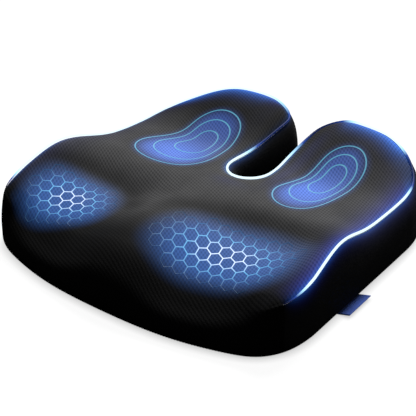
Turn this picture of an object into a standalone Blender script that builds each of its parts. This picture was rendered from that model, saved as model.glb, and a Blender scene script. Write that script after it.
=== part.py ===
"""A contoured foam seat cushion with a tailbone slot, in a zipped mesh-fabric cover.

The frame: +Z is up, the origin is on the underside at the middle of the plan, +Y points to the back
(the side with the slot) and +X to the sitter's right. All sizes are in metres.

One skin is worked out first: the outer surface of the cover. The cover panels, the foam and the gel
inserts are then all taken from that skin at their own depth below it, so they nest at any size.
"""

import math

import bmesh
import bpy
import numpy as np
from mathutils import Matrix, Vector
from mathutils.geometry import delaunay_2d_cdt

# Overall plan
WIDTH = 0.450
DEPTH = 0.443
FRONT_CORNER = 0.062  # how far the front corners reach along the front and the sides
REAR_CORNER = 0.078
FRONT_BOW = 0.022  # how far the front edge bulges forward between its corners
SIDE_TAPER = 0.012  # how much narrower each side is at the back than at the front
STRAIGHT_FROM_Y = -0.110  # the sides are straight between these two
STRAIGHT_TO_Y = 0.118

# Tailbone slot
SLOT_END_Y = 0.0520
SLOT_BULB = 0.0165  # half width near its closed end
SLOT_NECK = 0.0105  # half width where it is narrowest
MOUTH_FLARE = 0.020  # how far the slot's edges turn outwards at the back

# Top surface, all as heights before the edges roll down
SEAT_Z = 0.073
REAR_RISE = 0.033
REAR_RISE_X = 0.085
BOLSTER_RISE = 0.024
BOLSTER_Y = -0.052
SIT_DIP = 0.008
SIT_X = 0.102
SIT_Y = 0.062
TROUGH_DEPTH = 0.019
TROUGH_X = 0.112
TROUGH_HALF_WIDTH = 0.073
FRONT_FALL = 0.006

# Edges of the skin
RIM_INSET = 0.013  # how far the top edge stands in from the widest line, at the back
SIDE_INSET = 0.003  # the same by the front corners
RIM_DROP = 0.004
RIM_ROLL = 0.016
FRONT_INSET = 0.022
FRONT_DROP = 0.010
FRONT_ROLL = 0.036
WALL_TOP_Z = 0.036  # the walls are upright from BASE_ROLL up to here
FRONT_WALL_TOP_Z = 0.015
BASE_ROLL = 0.012
BASE_INSET = 0.005

# Fabric and foam
COVER_T = 0.0015
GAP = 0.0003  # running gap between pieces that touch
FOAM_DEPTH = COVER_T + GAP
PIPING_R = 0.0013
SEAM_TRIM = PIPING_R + GAP  # how far the panels stop short of the piping's centre line

# Gel inserts, set in recesses in the foam
GEL_T = 0.003
GEL_CLEARANCE = 0.0004
THIGH_GEL = (0.058, 0.042)  # half length across and half length front to back
THIGH_GEL_AT = (0.108, -0.104)
SIT_GEL_LENGTH = 0.120
SIT_GEL_FRONT = 0.021  # half width towards its front end
SIT_GEL_BACK = 0.036
SIT_GEL_BEND = 0.016
SIT_GEL_AT = (0.096, 0.080)

# Zip in the left wall
ZIP_Z = 0.0235
ZIP_FRONT_Y = -0.096
ZIP_BACK_Y = 0.106
COIL_W = 0.0022
COIL_T = 0.0018
COIL_SPLIT = 0.0014  # gap between the two coils, for the slider's post
TAPE_W = 0.0080
TAPE_T = 0.0006
TAPE_OVERLAP = 0.0080  # how far the tapes run on behind the wall at each end
WINDOW_MARGIN = 0.0016
STOP_L = 0.0030
SLIDER_L = 0.0100
SLIDER_W = 0.0070
SLIDER_WALL = 0.0010
SLIDER_CLEARANCE = 0.0004
POST_L = 0.0030
PIN_R = 0.0006
EAR_T = 0.0010
EAR_L = 0.0026
PULL_L = 0.0240
PULL_W = 0.0046
PULL_T = 0.0012
PULL_EYE_R = 0.0017

# Label in the right-hand base seam
LABEL_L = 0.050
LABEL_OUT = 0.016
LABEL_T = 0.0011
LABEL_Y = -0.029
LABEL_TILT = math.radians(14)

# Mesh density
COLUMN_STEP = 0.0185
GRID = 0.022
UPPER_ROWS = 4
BASE_ROWS = 3
PIPING_SIDES = 6

# Zones of the wall, in order round the outline
FRONT, RIGHT, SLOT, LEFT = range(4)


def clear_scene():
    for thing in list(bpy.data.objects):
        bpy.data.objects.remove(thing)


def material(name, colour, roughness, metallic=0.0):
    made = bpy.data.materials.new(name)
    made.use_nodes = True
    shader = made.node_tree.nodes["Principled BSDF"]
    shader.inputs["Base Color"].default_value = (*colour, 1.0)
    shader.inputs["Roughness"].default_value = roughness
    shader.inputs["Metallic"].default_value = metallic
    return made


def add_object(name, points, faces, finish):
    """An object for a closed solid, with its faces turned outwards."""
    mesh = bpy.data.meshes.new(name)
    mesh.from_pydata([tuple(map(float, p)) for p in points], [], [list(map(int, f)) for f in faces])
    solid = bmesh.new()
    solid.from_mesh(mesh)
    bmesh.ops.recalc_face_normals(solid, faces=solid.faces)
    solid.to_mesh(mesh)
    solid.free()
    mesh.materials.append(finish)
    made = bpy.data.objects.new(name, mesh)
    bpy.context.collection.objects.link(made)
    return made


def as_guide(guide):
    guide.hide_render = True
    guide.display_type = "WIRE"
    return guide


def boolean(target, other, operation):
    cut = target.modifiers.new(operation.lower(), "BOOLEAN")
    cut.operation = operation
    cut.object = other


# The plan outline


def closed_spline(points, per_span=24):
    """A fine closed curve through the given points, with no corner at any of them."""
    points = np.asarray(points, float)
    n = len(points)
    after = np.linalg.norm(np.roll(points, -1, 0) - points, axis=1)
    before = np.roll(after, 1)
    system = np.zeros((n, n))
    for i in range(n):
        system[i, i - 1] = after[i]
        system[i, i] = 2.0 * (before[i] + after[i])
        system[i, (i + 1) % n] = before[i]
    rise = (np.roll(points, -1, 0) - points) / after[:, None]
    slope = np.linalg.solve(system, 3.0 * (after[:, None] * np.roll(rise, 1, 0) + before[:, None] * rise))
    t = np.linspace(0.0, 1.0, per_span, endpoint=False)[:, None]
    spans = []
    for i in range(n):
        j = (i + 1) % n
        spans.append(
            (2 * t**3 - 3 * t**2 + 1) * points[i] + (t**3 - 2 * t**2 + t) * slope[i] * after[i]
            + (3 * t**2 - 2 * t**3) * points[j] + (t**3 - t**2) * slope[j] * after[i]
        )
    return np.concatenate(spans)


def side_x(y):
    """Half width of the plan along its straight sides."""
    share = (y - STRAIGHT_FROM_Y) / (STRAIGHT_TO_Y - STRAIGHT_FROM_Y)
    return WIDTH / 2 - SIDE_TAPER * share


def seam_point():
    """Where the side bands begin, in the right front corner."""
    return (WIDTH / 2 - 0.14 * FRONT_CORNER, -DEPTH / 2 + FRONT_BOW + 0.66 * FRONT_CORNER)


def half_outline():
    """The widest line of the right half, from the middle of the front edge to the end of the slot."""
    front, rear = -DEPTH / 2, DEPTH / 2
    side = WIDTH / 2
    back = side_x(STRAIGHT_TO_Y)
    turn = rear - STRAIGHT_TO_Y
    return [
        (0.0, front),
        ((side - FRONT_CORNER) * 0.62, front + 0.30 * FRONT_BOW),
        (side - FRONT_CORNER, front + FRONT_BOW),
        (side - 0.45 * FRONT_CORNER, front + FRONT_BOW + 0.26 * FRONT_CORNER),
        seam_point(),
        (side, STRAIGHT_FROM_Y),
        (side_x(-0.05), -0.05),
        (side_x(0.05), 0.05),
        (back, STRAIGHT_TO_Y),
        (back - 0.09 * REAR_CORNER, rear - 0.66 * turn),
        (back - 0.31 * REAR_CORNER, rear - 0.38 * turn),
        (back - 0.64 * REAR_CORNER, rear - 0.17 * turn),
        (back - 1.05 * REAR_CORNER, rear - 0.045 * turn),
        (0.085, rear),
        (SLOT_NECK + 1.45 * MOUTH_FLARE, rear - 0.10 * MOUTH_FLARE),
        (SLOT_NECK + 0.60 * MOUTH_FLARE, rear - 0.50 * MOUTH_FLARE),
        (SLOT_NECK + 0.12 * MOUTH_FLARE, rear - 1.20 * MOUTH_FLARE),
        (SLOT_NECK, rear - 2.30 * MOUTH_FLARE),
        (0.5 * (SLOT_NECK + SLOT_BULB), SLOT_END_Y + 0.058),
        (SLOT_BULB, SLOT_END_Y + 0.030),
        (0.80 * SLOT_BULB, SLOT_END_Y + 0.009),
        (0.0, SLOT_END_Y),
    ]


class Outline:
    """The widest line all round, which can be asked for the point at any distance along it."""

    def __init__(self):
        right = half_outline()
        left = [(-x, y) for x, y in right[-2:0:-1]]
        fine = closed_spline(right + left)
        straight = (fine[:, 1] > STRAIGHT_FROM_Y) & (fine[:, 1] < STRAIGHT_TO_Y) & (np.abs(fine[:, 0]) > 0.1)
        fine[straight, 0] = np.sign(fine[straight, 0]) * side_x(fine[straight, 1])
        self.fine = np.vstack([fine, fine[:1]])
        step = np.linalg.norm(np.diff(self.fine, axis=0), axis=1)
        self.along = np.r_[0.0, np.cumsum(step)]
        self.length = self.along[-1]

    def at(self, distance):
        distance = np.mod(distance, self.length)
        return np.stack([np.interp(distance, self.along, self.fine[:, k]) for k in range(2)], axis=-1)

    def inward(self, distance):
        ahead = self.at(np.asarray(distance) + 0.0006) - self.at(np.asarray(distance) - 0.0006)
        turned = np.stack([-ahead[..., 1], ahead[..., 0]], axis=-1)
        return turned / np.linalg.norm(turned, axis=-1)[..., None]

    def nearest(self, point):
        return self.along[np.argmin(np.linalg.norm(self.fine - np.asarray(point), axis=1))]


# The top surface


def smooth(t):
    t = np.clip(t, 0.0, 1.0)
    return t * t * (3.0 - 2.0 * t)


def bump(value, centre, spread, power=2.0):
    return np.exp(-np.abs((value - centre) / spread) ** power)


def frontness(x, y):
    """1 along the front edge, where the fabric rolls over, and 0 round the sides, the back and the slot."""
    return smooth((0.092 - DEPTH / 2 - y) / 0.050) * smooth((WIDTH / 2 - 0.004 - np.abs(x)) / 0.040)


def seat_height(x, y):
    """Height of the top surface before its edge is rolled down."""
    ax = np.abs(x)
    spread = np.where(ax < REAR_RISE_X, 0.068, 0.098)
    rear = smooth((y - 0.088) / 0.120) * bump(ax, REAR_RISE_X, spread, 2.6)
    bolster = bump(ax, WIDTH / 2, 0.052) * bump(y, BOLSTER_Y, 0.062)
    dips = bump(ax, SIT_X, 0.052) * bump(y, SIT_Y, 0.066)
    trough = smooth((0.002 - y) / 0.070) * bump(ax, TROUGH_X, TROUGH_HALF_WIDTH, 3.2)
    fall = smooth((-0.090 - y) / 0.130)
    return SEAT_Z + REAR_RISE * rear + BOLSTER_RISE * bolster - SIT_DIP * dips - TROUGH_DEPTH * trough - FRONT_FALL * fall


def distance_to(loop, x, y):
    """Plan distance from each point to a closed loop."""
    step = (np.roll(loop, -1, 0) - loop)[None, :, :]
    to = np.stack([x, y], axis=1)[:, None, :] - loop[None, :, :]
    share = np.clip((to * step).sum(2) / (step**2).sum(2), 0.0, 1.0)
    return np.linalg.norm(to - share[:, :, None] * step, axis=2).min(axis=1)


def inside(loop, points):
    """Which points lie inside a closed loop, by counting crossings."""
    x, y = points[:, 0][:, None], points[:, 1][:, None]
    a, b = loop[None], np.roll(loop, -1, 0)[None]
    spans = (a[..., 1] > y) != (b[..., 1] > y)
    rise = np.where(b[..., 1] == a[..., 1], 1e-12, b[..., 1] - a[..., 1])
    cross = x < (b[..., 0] - a[..., 0]) * (y - a[..., 1]) / rise + a[..., 0]
    return (spans & cross).sum(1) % 2 == 1


class Skin:
    """The outer surface of the cover: columns down the wall, and triangles over the top."""

    def __init__(self):
        self.outline = Outline()
        fine = np.linspace(0.0, self.outline.length, 400, endpoint=False)
        self.rim_loop = self.rim_at(fine)
        x, y = seam_point()
        right = self.outline.nearest((x, y))
        mouth = self.outline.nearest((SLOT_NECK + 0.60 * MOUTH_FLARE, DEPTH / 2 - 0.50 * MOUTH_FLARE))
        seams = [-right, right, mouth, self.outline.length - mouth, self.outline.length - right]
        self.columns = []
        for zone in (FRONT, RIGHT, SLOT, LEFT):
            start, end = seams[zone] + GAP / 2, seams[zone + 1] - GAP / 2
            count = max(4, round((end - start) / COLUMN_STEP * (1.5 if zone == SLOT else 1.0)))
            self.columns.append(np.linspace(start, end, count + 1))
        self.fill = top_fill(self)

    def all_columns(self):
        return np.concatenate(self.columns)

    def rim_at(self, distance):
        edge = self.outline.at(distance)
        inset = SIDE_INSET + (RIM_INSET - SIDE_INSET) * smooth((edge[..., 1] + 0.13) / 0.20)
        inset += (FRONT_INSET - inset) * frontness(edge[..., 0], edge[..., 1])
        return edge + inset[..., None] * self.outline.inward(distance)

    def height(self, x, y):
        x, y = np.atleast_1d(x), np.atleast_1d(y)
        f = frontness(x, y)
        drop = RIM_DROP + (FRONT_DROP - RIM_DROP) * f
        roll = RIM_ROLL + (FRONT_ROLL - RIM_ROLL) * f
        near = np.clip(1.0 - distance_to(self.rim_loop, x, y) / roll, 0.0, 1.0)
        return seat_height(x, y) - drop * near**2

    def top_normals(self, x, y):
        step = 0.0015
        slope_x = (self.height(x + step, y) - self.height(x - step, y)) / (2 * step)
        slope_y = (self.height(x, y + step) - self.height(x, y - step)) / (2 * step)
        normals = np.stack([-slope_x, -slope_y, np.ones_like(slope_x)], axis=1)
        return normals / np.linalg.norm(normals, axis=1)[:, None]

    def wall(self, distances, trim=0.0):
        """Points and normals in columns down the wall. trim is how far below the rim they start."""
        edge, inward = self.outline.at(distances), self.outline.inward(distances)
        rim = self.rim_at(distances)
        inset = np.linalg.norm(rim - edge, axis=1)
        rim_z = self.height(rim[:, 0], rim[:, 1])
        within = rim + 0.002 * inward
        slope = np.clip((self.height(within[:, 0], within[:, 1]) - rim_z) / 0.002, 0.05, 2.0)
        f = frontness(edge[:, 0], edge[:, 1])
        upright = WALL_TOP_Z + (FRONT_WALL_TOP_Z - WALL_TOP_Z) * f
        points, normals = [], []
        for i in range(len(distances)):
            profile = wall_profile(inset[i], rim_z[i], slope[i], upright[i])
            run = np.r_[0.0, np.cumsum(np.linalg.norm(np.diff(profile, axis=0), axis=1))]
            upper = np.linspace(0.0, run[UPPER_FINE], UPPER_ROWS + 1)
            upper[0] = trim
            lower = np.linspace(run[UPPER_FINE + 1], run[-1], BASE_ROWS + 1)
            rows = np.r_[upper, lower]
            flat = np.stack([np.interp(rows, run, profile[:, k]) for k in range(2)], axis=1)
            ahead = np.stack([np.interp(rows + 0.0004, run, profile[:, k]) for k in range(2)], axis=1)
            behind = np.stack([np.interp(rows - 0.0004, run, profile[:, k]) for k in range(2)], axis=1)
            tangent = ahead - behind
            tangent /= np.linalg.norm(tangent, axis=1)[:, None]
            for (step, z), (run_in, run_up) in zip(flat, tangent):
                points.append((*(edge[i] + step * inward[i]), z))
                normals.append((*(run_up * inward[i]), -run_in))
        return np.array(points), np.array(normals)


UPPER_FINE = 24


def wall_profile(inset, rim_z, slope, upright):
    """A fine (inset, z) line from the rim down to the underside, where slope is that of the top at the rim."""
    lean = math.atan(slope)
    start = np.array([inset, rim_z])
    end = np.array([0.0, upright])
    first = start + 0.62 * inset * np.array([-math.cos(lean), -math.sin(lean)])
    last = end + np.array([0.0, 0.58 * (rim_z - upright)])
    t = np.linspace(0.0, 1.0, UPPER_FINE + 1)[:, None]
    upper = (1 - t) ** 3 * start + 3 * (1 - t) ** 2 * t * first + 3 * (1 - t) * t * t * last + t**3 * end
    turn = np.linspace(0.0, 0.5 * math.pi, 13)
    lower = np.stack([BASE_INSET * (1 - np.cos(turn)), BASE_ROLL + (GAP - BASE_ROLL) * np.sin(turn)], axis=1)
    return np.vstack([upper, lower])


ROWS = UPPER_ROWS + BASE_ROWS + 2


def column_faces(count, closed=False):
    """Triangles between neighbouring columns of ROWS points each, split the same way on every surface."""
    faces = []
    for i in range(count if closed else count - 1):
        for k in range(ROWS - 1):
            here = i * ROWS + k
            there = (i + 1) % count * ROWS + k
            faces += [(here, here + 1, there + 1), (here, there + 1, there)]
    return faces


def top_fill(skin):
    """Triangles over the plan inside the rim, and the plan points they need besides the rim's."""
    distances = skin.all_columns()
    rim = skin.rim_at(distances)
    rows = -0.5 * DEPTH + GRID * np.arange(1, int(DEPTH / GRID) + 1)
    across = GRID * np.arange(int(0.5 * WIDTH / GRID) + 1)
    inner = []
    for row, y in enumerate(rows):
        for x in across + (0.5 * GRID if row % 2 else 0.0):
            inner += [(x, y), (-x, y)] if x > 0 else [(x, y)]
    inner = np.array(inner)
    inner = inner[inside(skin.rim_loop, inner)]
    inner = inner[distance_to(skin.rim_loop, inner[:, 0], inner[:, 1]) > 1.05 * RIM_ROLL]
    between = np.concatenate([0.5 * (d[1:] + d[:-1]) for d in skin.columns])
    shoulder = skin.rim_at(between) + 0.5 * RIM_ROLL * skin.outline.inward(between)
    points = np.concatenate([rim, shoulder, inner])
    made, _, faces, source, _, _ = delaunay_2d_cdt(
        [Vector(p) for p in points], [], [list(range(len(rim)))], 1, 1e-7
    )
    number, extra = {}, []
    for i, origin in enumerate(source):
        if origin and origin[0] < len(rim):
            number[i] = origin[0]
        else:
            number[i] = len(rim) + len(extra)
            extra.append(tuple(made[i]))
    return np.array(extra), [tuple(number[v] for v in face) for face in faces]


def border(faces):
    """The edges that only one face has, in that face's direction."""
    seen = {}
    for face in faces:
        for a, b in zip(face, face[1:] + face[:1]):
            seen[(a, b)] = True
    return [(a, b) for a, b in seen if (b, a) not in seen]


def shell(name, points, normals, faces, finish, outer=0.0, thickness=COVER_T):
    """A sheet of even thickness under the given surface."""
    near, far = points - outer * normals, points - (outer + thickness) * normals
    n = len(points)
    made = list(faces)
    made += [tuple(v + n for v in reversed(face)) for face in faces]
    made += [(b, a, a + n, b + n) for a, b in border(faces)]
    return add_object(name, np.vstack([near, far]), made, finish)


def with_top(skin, points, normals, faces, ring):
    """Adds the top to a wall. ring holds the numbers of the points that stand on the rim, in order."""
    extra, top = skin.fill
    number = list(ring) + list(range(len(points), len(points) + len(extra)))
    height = skin.height(extra[:, 0], extra[:, 1])
    points = np.vstack([points, np.column_stack([extra, height])])
    normals = np.vstack([normals, skin.top_normals(extra[:, 0], extra[:, 1])])
    return points, normals, faces + [tuple(number[v] for v in face) for face in top]


def foam_blank(skin, name, depth, finish):
    """A closed solid of the foam's shape, at a depth below the skin."""
    points, normals = skin.wall(skin.all_columns())
    count = len(skin.all_columns())
    ring = np.arange(count) * ROWS
    points, normals, faces = with_top(skin, points, normals, column_faces(count, True), ring)
    base = tuple(reversed(ring + ROWS - 1))
    return add_object(name, points - depth * normals, faces + [base], finish)


# The cover


def top_panel(skin, finish):
    """The top and, with no seam between, the front: its edge is the piping's seam elsewhere."""
    points, normals = skin.wall(skin.columns[FRONT])
    count = len(skin.columns[FRONT])
    others = np.concatenate([skin.columns[zone] for zone in (RIGHT, SLOT, LEFT)])
    trimmed = skin.rim_at(others) + SEAM_TRIM * skin.outline.inward(others)
    height = skin.height(trimmed[:, 0], trimmed[:, 1])
    ring = list(np.arange(count) * ROWS) + list(range(len(points), len(points) + len(others)))
    points = np.vstack([points, np.column_stack([trimmed, height])])
    normals = np.vstack([normals, skin.top_normals(trimmed[:, 0], trimmed[:, 1])])
    return shell("top_panel", *with_top(skin, points, normals, column_faces(count), ring), finish)


def band(skin, name, zone, finish):
    points, normals = skin.wall(skin.columns[zone], SEAM_TRIM)
    return shell(name, points, normals, column_faces(len(skin.columns[zone])), finish)


def bottom_panel(skin, finish):
    distances = skin.all_columns()
    ring = skin.outline.at(distances) + (BASE_INSET + GAP) * skin.outline.inward(distances)
    points = np.column_stack([ring, np.full(len(ring), COVER_T)])
    normals = np.tile([0.0, 0.0, 1.0], (len(ring), 1))
    return shell("bottom_panel", points, normals, [tuple(range(len(ring)))], finish)


def edge_piping(skin, finish):
    """A cord along the top edge of the bands, from one front corner round to the other."""
    along = np.concatenate([skin.columns[RIGHT], skin.columns[SLOT][1:-1], skin.columns[LEFT]])
    along[0] += 2 * GAP
    along[-1] -= 2 * GAP
    rim = skin.rim_at(along)
    line = np.column_stack([rim, skin.height(rim[:, 0], rim[:, 1])])
    ahead = np.gradient(line, axis=0)
    ahead /= np.linalg.norm(ahead, axis=1)[:, None]
    points, faces = [], []
    for here, way in zip(line, ahead):
        across = np.cross(way, (0.0, 0.0, 1.0))
        across /= np.linalg.norm(across)
        upward = np.cross(across, way)
        for k in range(PIPING_SIDES):
            turn = 2 * math.pi * k / PIPING_SIDES
            points.append(here + PIPING_R * (math.cos(turn) * across + math.sin(turn) * upward))
    for i in range(len(line) - 1):
        for k in range(PIPING_SIDES):
            a, b = i * PIPING_SIDES + k, i * PIPING_SIDES + (k + 1) % PIPING_SIDES
            faces.append((a, b, b + PIPING_SIDES, a + PIPING_SIDES))
    last = (len(line) - 1) * PIPING_SIDES
    faces.append(tuple(range(PIPING_SIDES - 1, -1, -1)))
    faces.append(tuple(range(last, last + PIPING_SIDES)))
    return add_object("edge_piping", points, faces, finish)


# The foam and the gel inserts


def oval(centre, half_lengths):
    turns = np.linspace(0.0, 2 * math.pi, 28, endpoint=False)
    power = 0.75
    cos, sin = np.cos(turns), np.sin(turns)
    return np.stack(
        [
            centre[0] + half_lengths[0] * np.sign(cos) * np.abs(cos) ** power,
            centre[1] + half_lengths[1] * np.sign(sin) * np.abs(sin) ** power,
        ],
        axis=1,
    )


def kidney(centre, grow):
    """A bent oval, narrow in front and wide at the back, with its hollow side to the left."""
    turns = np.linspace(0.0, 2 * math.pi, 28, endpoint=False)
    along = np.sin(turns)
    share = 0.5 * (1 + along)
    half_width = SIT_GEL_FRONT + (SIT_GEL_BACK - SIT_GEL_FRONT) * share + grow
    spine = SIT_GEL_BEND * (1 - along**2) - 0.5 * SIT_GEL_BEND
    return np.stack(
        [
            centre[0] + spine + half_width * np.cos(turns),
            centre[1] + (0.5 * SIT_GEL_LENGTH + grow) * along,
        ],
        axis=1,
    )


def prism(name, ring, low, high, finish):
    n = len(ring)
    points = [(*p, low) for p in ring] + [(*p, high) for p in ring]
    faces = [tuple(range(n - 1, -1, -1)), tuple(range(n, 2 * n))]
    faces += [(i, (i + 1) % n, (i + 1) % n + n, i + n) for i in range(n)]
    return add_object(name, points, faces, finish)


def gel_insert(name, pocket, insert, blank, core, finish):
    """Cuts a flat-bottomed pocket in the foam and fits an insert whose top is flush with the foam's."""
    floor = float(seat_height(pocket[:, 0], pocket[:, 1]).min()) - FOAM_DEPTH - GEL_T
    above = SEAT_Z + REAR_RISE + BOLSTER_RISE
    boolean(core, as_guide(prism(name + "_pocket", pocket, floor - GEL_CLEARANCE, above, finish)), "DIFFERENCE")
    gel = prism(name, insert, floor, above, finish)
    boolean(gel, blank, "INTERSECT")
    return gel


# The zip, in a frame of its own: x towards the front along the wall, y up, z straight out of the wall


def zip_frame():
    middle = 0.5 * (ZIP_FRONT_Y + ZIP_BACK_Y)
    run = Vector((SIDE_TAPER, STRAIGHT_TO_Y - STRAIGHT_FROM_Y, 0.0)).normalized()
    out = Vector((-run.y, run.x, 0.0))
    up = Vector((0.0, 0.0, 1.0))
    frame = Matrix((-run, up, out)).transposed().to_4x4()
    frame.translation = Vector((-side_x(middle), middle, ZIP_Z))
    return frame


def box_points(low, high):
    (x0, y0, z0), (x1, y1, z1) = low, high
    points = [(x0, y0, z0), (x1, y0, z0), (x1, y1, z0), (x0, y1, z0)]
    points += [(x0, y0, z1), (x1, y0, z1), (x1, y1, z1), (x0, y1, z1)]
    faces = [(3, 2, 1, 0), (4, 5, 6, 7), (0, 1, 5, 4), (1, 2, 6, 5), (2, 3, 7, 6), (3, 0, 4, 7)]
    return points, faces


def block(name, low, high, frame, finish, bevel=0.0):
    """A box placed by its own frame, with its origin at that frame's."""
    points, faces = box_points(low, high)
    made = add_object(name, points, faces, finish)
    made.matrix_world = frame
    if bevel:
        round_off = made.modifiers.new("bevel", "BEVEL")
        round_off.width = bevel
        round_off.segments = 2
    return made


def rod(name, radius, low, high, frame, finish, sides=12):
    """A round bar along the frame's y axis."""
    turns = [2 * math.pi * k / sides for k in range(sides)]
    ring = [(radius * math.cos(a), radius * math.sin(a)) for a in turns]
    points = [(x, low, z) for x, z in ring] + [(x, high, z) for x, z in ring]
    faces = [tuple(range(sides)), tuple(range(2 * sides - 1, sides - 1, -1))]
    faces += [(i, i + sides, (i + 1) % sides + sides, (i + 1) % sides) for i in range(sides)]
    made = add_object(name, points, faces, finish)
    made.matrix_world = frame
    return made


class Zip:
    """Where the zip's layers lie. Levels are heights above the wall's outer face, which is 0."""

    def __init__(self):
        self.frame = zip_frame()
        self.half = 0.5 * math.hypot(ZIP_BACK_Y - ZIP_FRONT_Y, side_x(ZIP_FRONT_Y) - side_x(ZIP_BACK_Y))
        self.tape_top = -COVER_T - GAP
        self.tape_low = self.tape_top - TAPE_T
        self.coil_low = self.tape_top + GAP
        self.coil_top = self.coil_low + COIL_T
        self.plate_low = self.coil_top + SLIDER_CLEARANCE
        self.plate_top = self.plate_low + SLIDER_WALL
        self.back_top = self.tape_low - SLIDER_CLEARANCE
        self.back_low = self.back_top - SLIDER_WALL
        self.pin_level = self.plate_top + PULL_EYE_R + GAP
        self.coil_out = 0.5 * COIL_SPLIT + COIL_W
        self.window = self.coil_out + WINDOW_MARGIN
        self.coil_half = self.half - STOP_L - 2 * GAP
        self.travel = 2 * self.coil_half - SLIDER_L
        self.slider_home = -self.coil_half + 0.5 * SLIDER_L  # at the back end, with the zip closed


def zip_window(zipper, side_band, core, finish):
    """The opening in the wall for the coils, and the hollow in the foam behind the tapes."""
    window = block(
        "zip_window", (-zipper.half, -zipper.window, -4 * COVER_T), (zipper.half, zipper.window, 4 * COVER_T),
        zipper.frame, finish,
    )
    boolean(side_band, as_guide(window), "DIFFERENCE")
    reach = zipper.half + TAPE_OVERLAP + GAP
    out = 0.5 * COIL_SPLIT + TAPE_W + GAP
    hollow = block(
        "zip_hollow", (-reach, -out, zipper.back_low - SLIDER_CLEARANCE), (reach, out, 4 * COVER_T),
        zipper.frame, finish,
    )
    boolean(core, as_guide(hollow), "DIFFERENCE")


def zip_rows(zipper, tape_finish, coil_finish, stop_finish):
    """The tapes, coils and end stops, as an upper and a lower row."""
    reach = zipper.half + TAPE_OVERLAP
    inner = 0.5 * COIL_SPLIT
    for name, side in (("upper", 1), ("lower", -1)):
        def spread(near, far):
            return tuple(sorted((side * near, side * far)))

        low, high = spread(inner, inner + TAPE_W)
        block(
            "zipper_tape_" + name, (-reach, low, zipper.tape_low), (reach, high, zipper.tape_top),
            zipper.frame, tape_finish,
        )
        low, high = spread(inner, zipper.coil_out)
        block(
            "zipper_coil_" + name, (-zipper.coil_half, low, zipper.coil_low),
            (zipper.coil_half, high, zipper.coil_top), zipper.frame, coil_finish, 0.25 * COIL_T,
        )
        block(
            "zipper_top_stop_" + name, (-zipper.half + GAP, low, zipper.coil_low),
            (-zipper.half + GAP + STOP_L, high, zipper.coil_top), zipper.frame, stop_finish, 0.12 * STOP_L,
        )
    block(
        "zipper_bottom_stop", (zipper.half - GAP - STOP_L, -zipper.coil_out, zipper.coil_low),
        (zipper.half - GAP, zipper.coil_out, zipper.coil_top), zipper.frame, stop_finish, 0.12 * STOP_L,
    )


def zip_slider(zipper, finish):
    """Two plates round the coils, joined by a post between them, with two ears and a pin for the pull."""
    at = zipper.frame @ Matrix.Translation((zipper.slider_home, 0.0, 0.0))
    half_l, half_w = 0.5 * SLIDER_L, 0.5 * SLIDER_W
    sink = 0.25 * SLIDER_WALL
    slider = block(
        "zipper_slider", (-half_l, -half_w, zipper.plate_low), (half_l, half_w, zipper.plate_top), at, finish
    )
    back = block("slider_back", (-half_l, -half_w, zipper.back_low), (half_l, half_w, zipper.back_top), at, finish)
    half_post = 0.5 * COIL_SPLIT - SLIDER_CLEARANCE
    post = block(
        "slider_post", (-0.5 * POST_L, -half_post, zipper.back_top - sink),
        (0.5 * POST_L, half_post, zipper.plate_low + sink), at, finish,
    )
    joined = [back, post]
    ear = 0.5 * PULL_W + GAP
    for side in (1, -1):
        low, high = sorted((side * ear, side * (ear + EAR_T)))
        joined.append(
            block(
                "slider_ear", (-0.5 * EAR_L, low, zipper.plate_top - sink),
                (0.5 * EAR_L, high, zipper.pin_level + PIN_R + 0.5 * EAR_T), at, finish,
            )
        )
    pin_at = at @ Matrix.Translation((0.0, 0.0, zipper.pin_level))
    joined.append(rod("slider_pin", PIN_R, -ear - 0.5 * EAR_T, ear + 0.5 * EAR_T, pin_at, finish))
    for piece in joined:
        boolean(slider, as_guide(piece), "UNION")
    return slider, pin_at


def zip_pull(pin_at, finish):
    """A flat tab whose eye turns on the slider's pin. At rest it lies towards the front."""
    half_w, half_t = 0.5 * PULL_W, 0.5 * PULL_T
    turns = [0.5 * math.pi + math.pi * k / 8 for k in range(9)]
    eye = [(PULL_EYE_R * math.cos(a), PULL_EYE_R * math.sin(a)) for a in turns]
    start = math.sqrt(PULL_EYE_R**2 - half_t**2)
    profile = eye[:] + [(start, -half_t), (PULL_L, -half_t), (PULL_L, half_t), (start, half_t)]
    profile[0:1] = [(0.0, PULL_EYE_R)]
    n = len(profile)
    points = [(x, -half_w, z) for x, z in profile] + [(x, half_w, z) for x, z in profile]
    faces = [tuple(range(n)), tuple(range(2 * n - 1, n - 1, -1))]
    faces += [(i, i + n, (i + 1) % n + n, (i + 1) % n) for i in range(n)]
    pull = add_object("zipper_pull", points, faces, finish)
    pull.matrix_world = pin_at
    bore = rod("pull_bore", PIN_R + GAP, -PULL_W, PULL_W, pin_at, finish)
    boolean(pull, as_guide(bore), "DIFFERENCE")
    return pull


# The label


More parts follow.
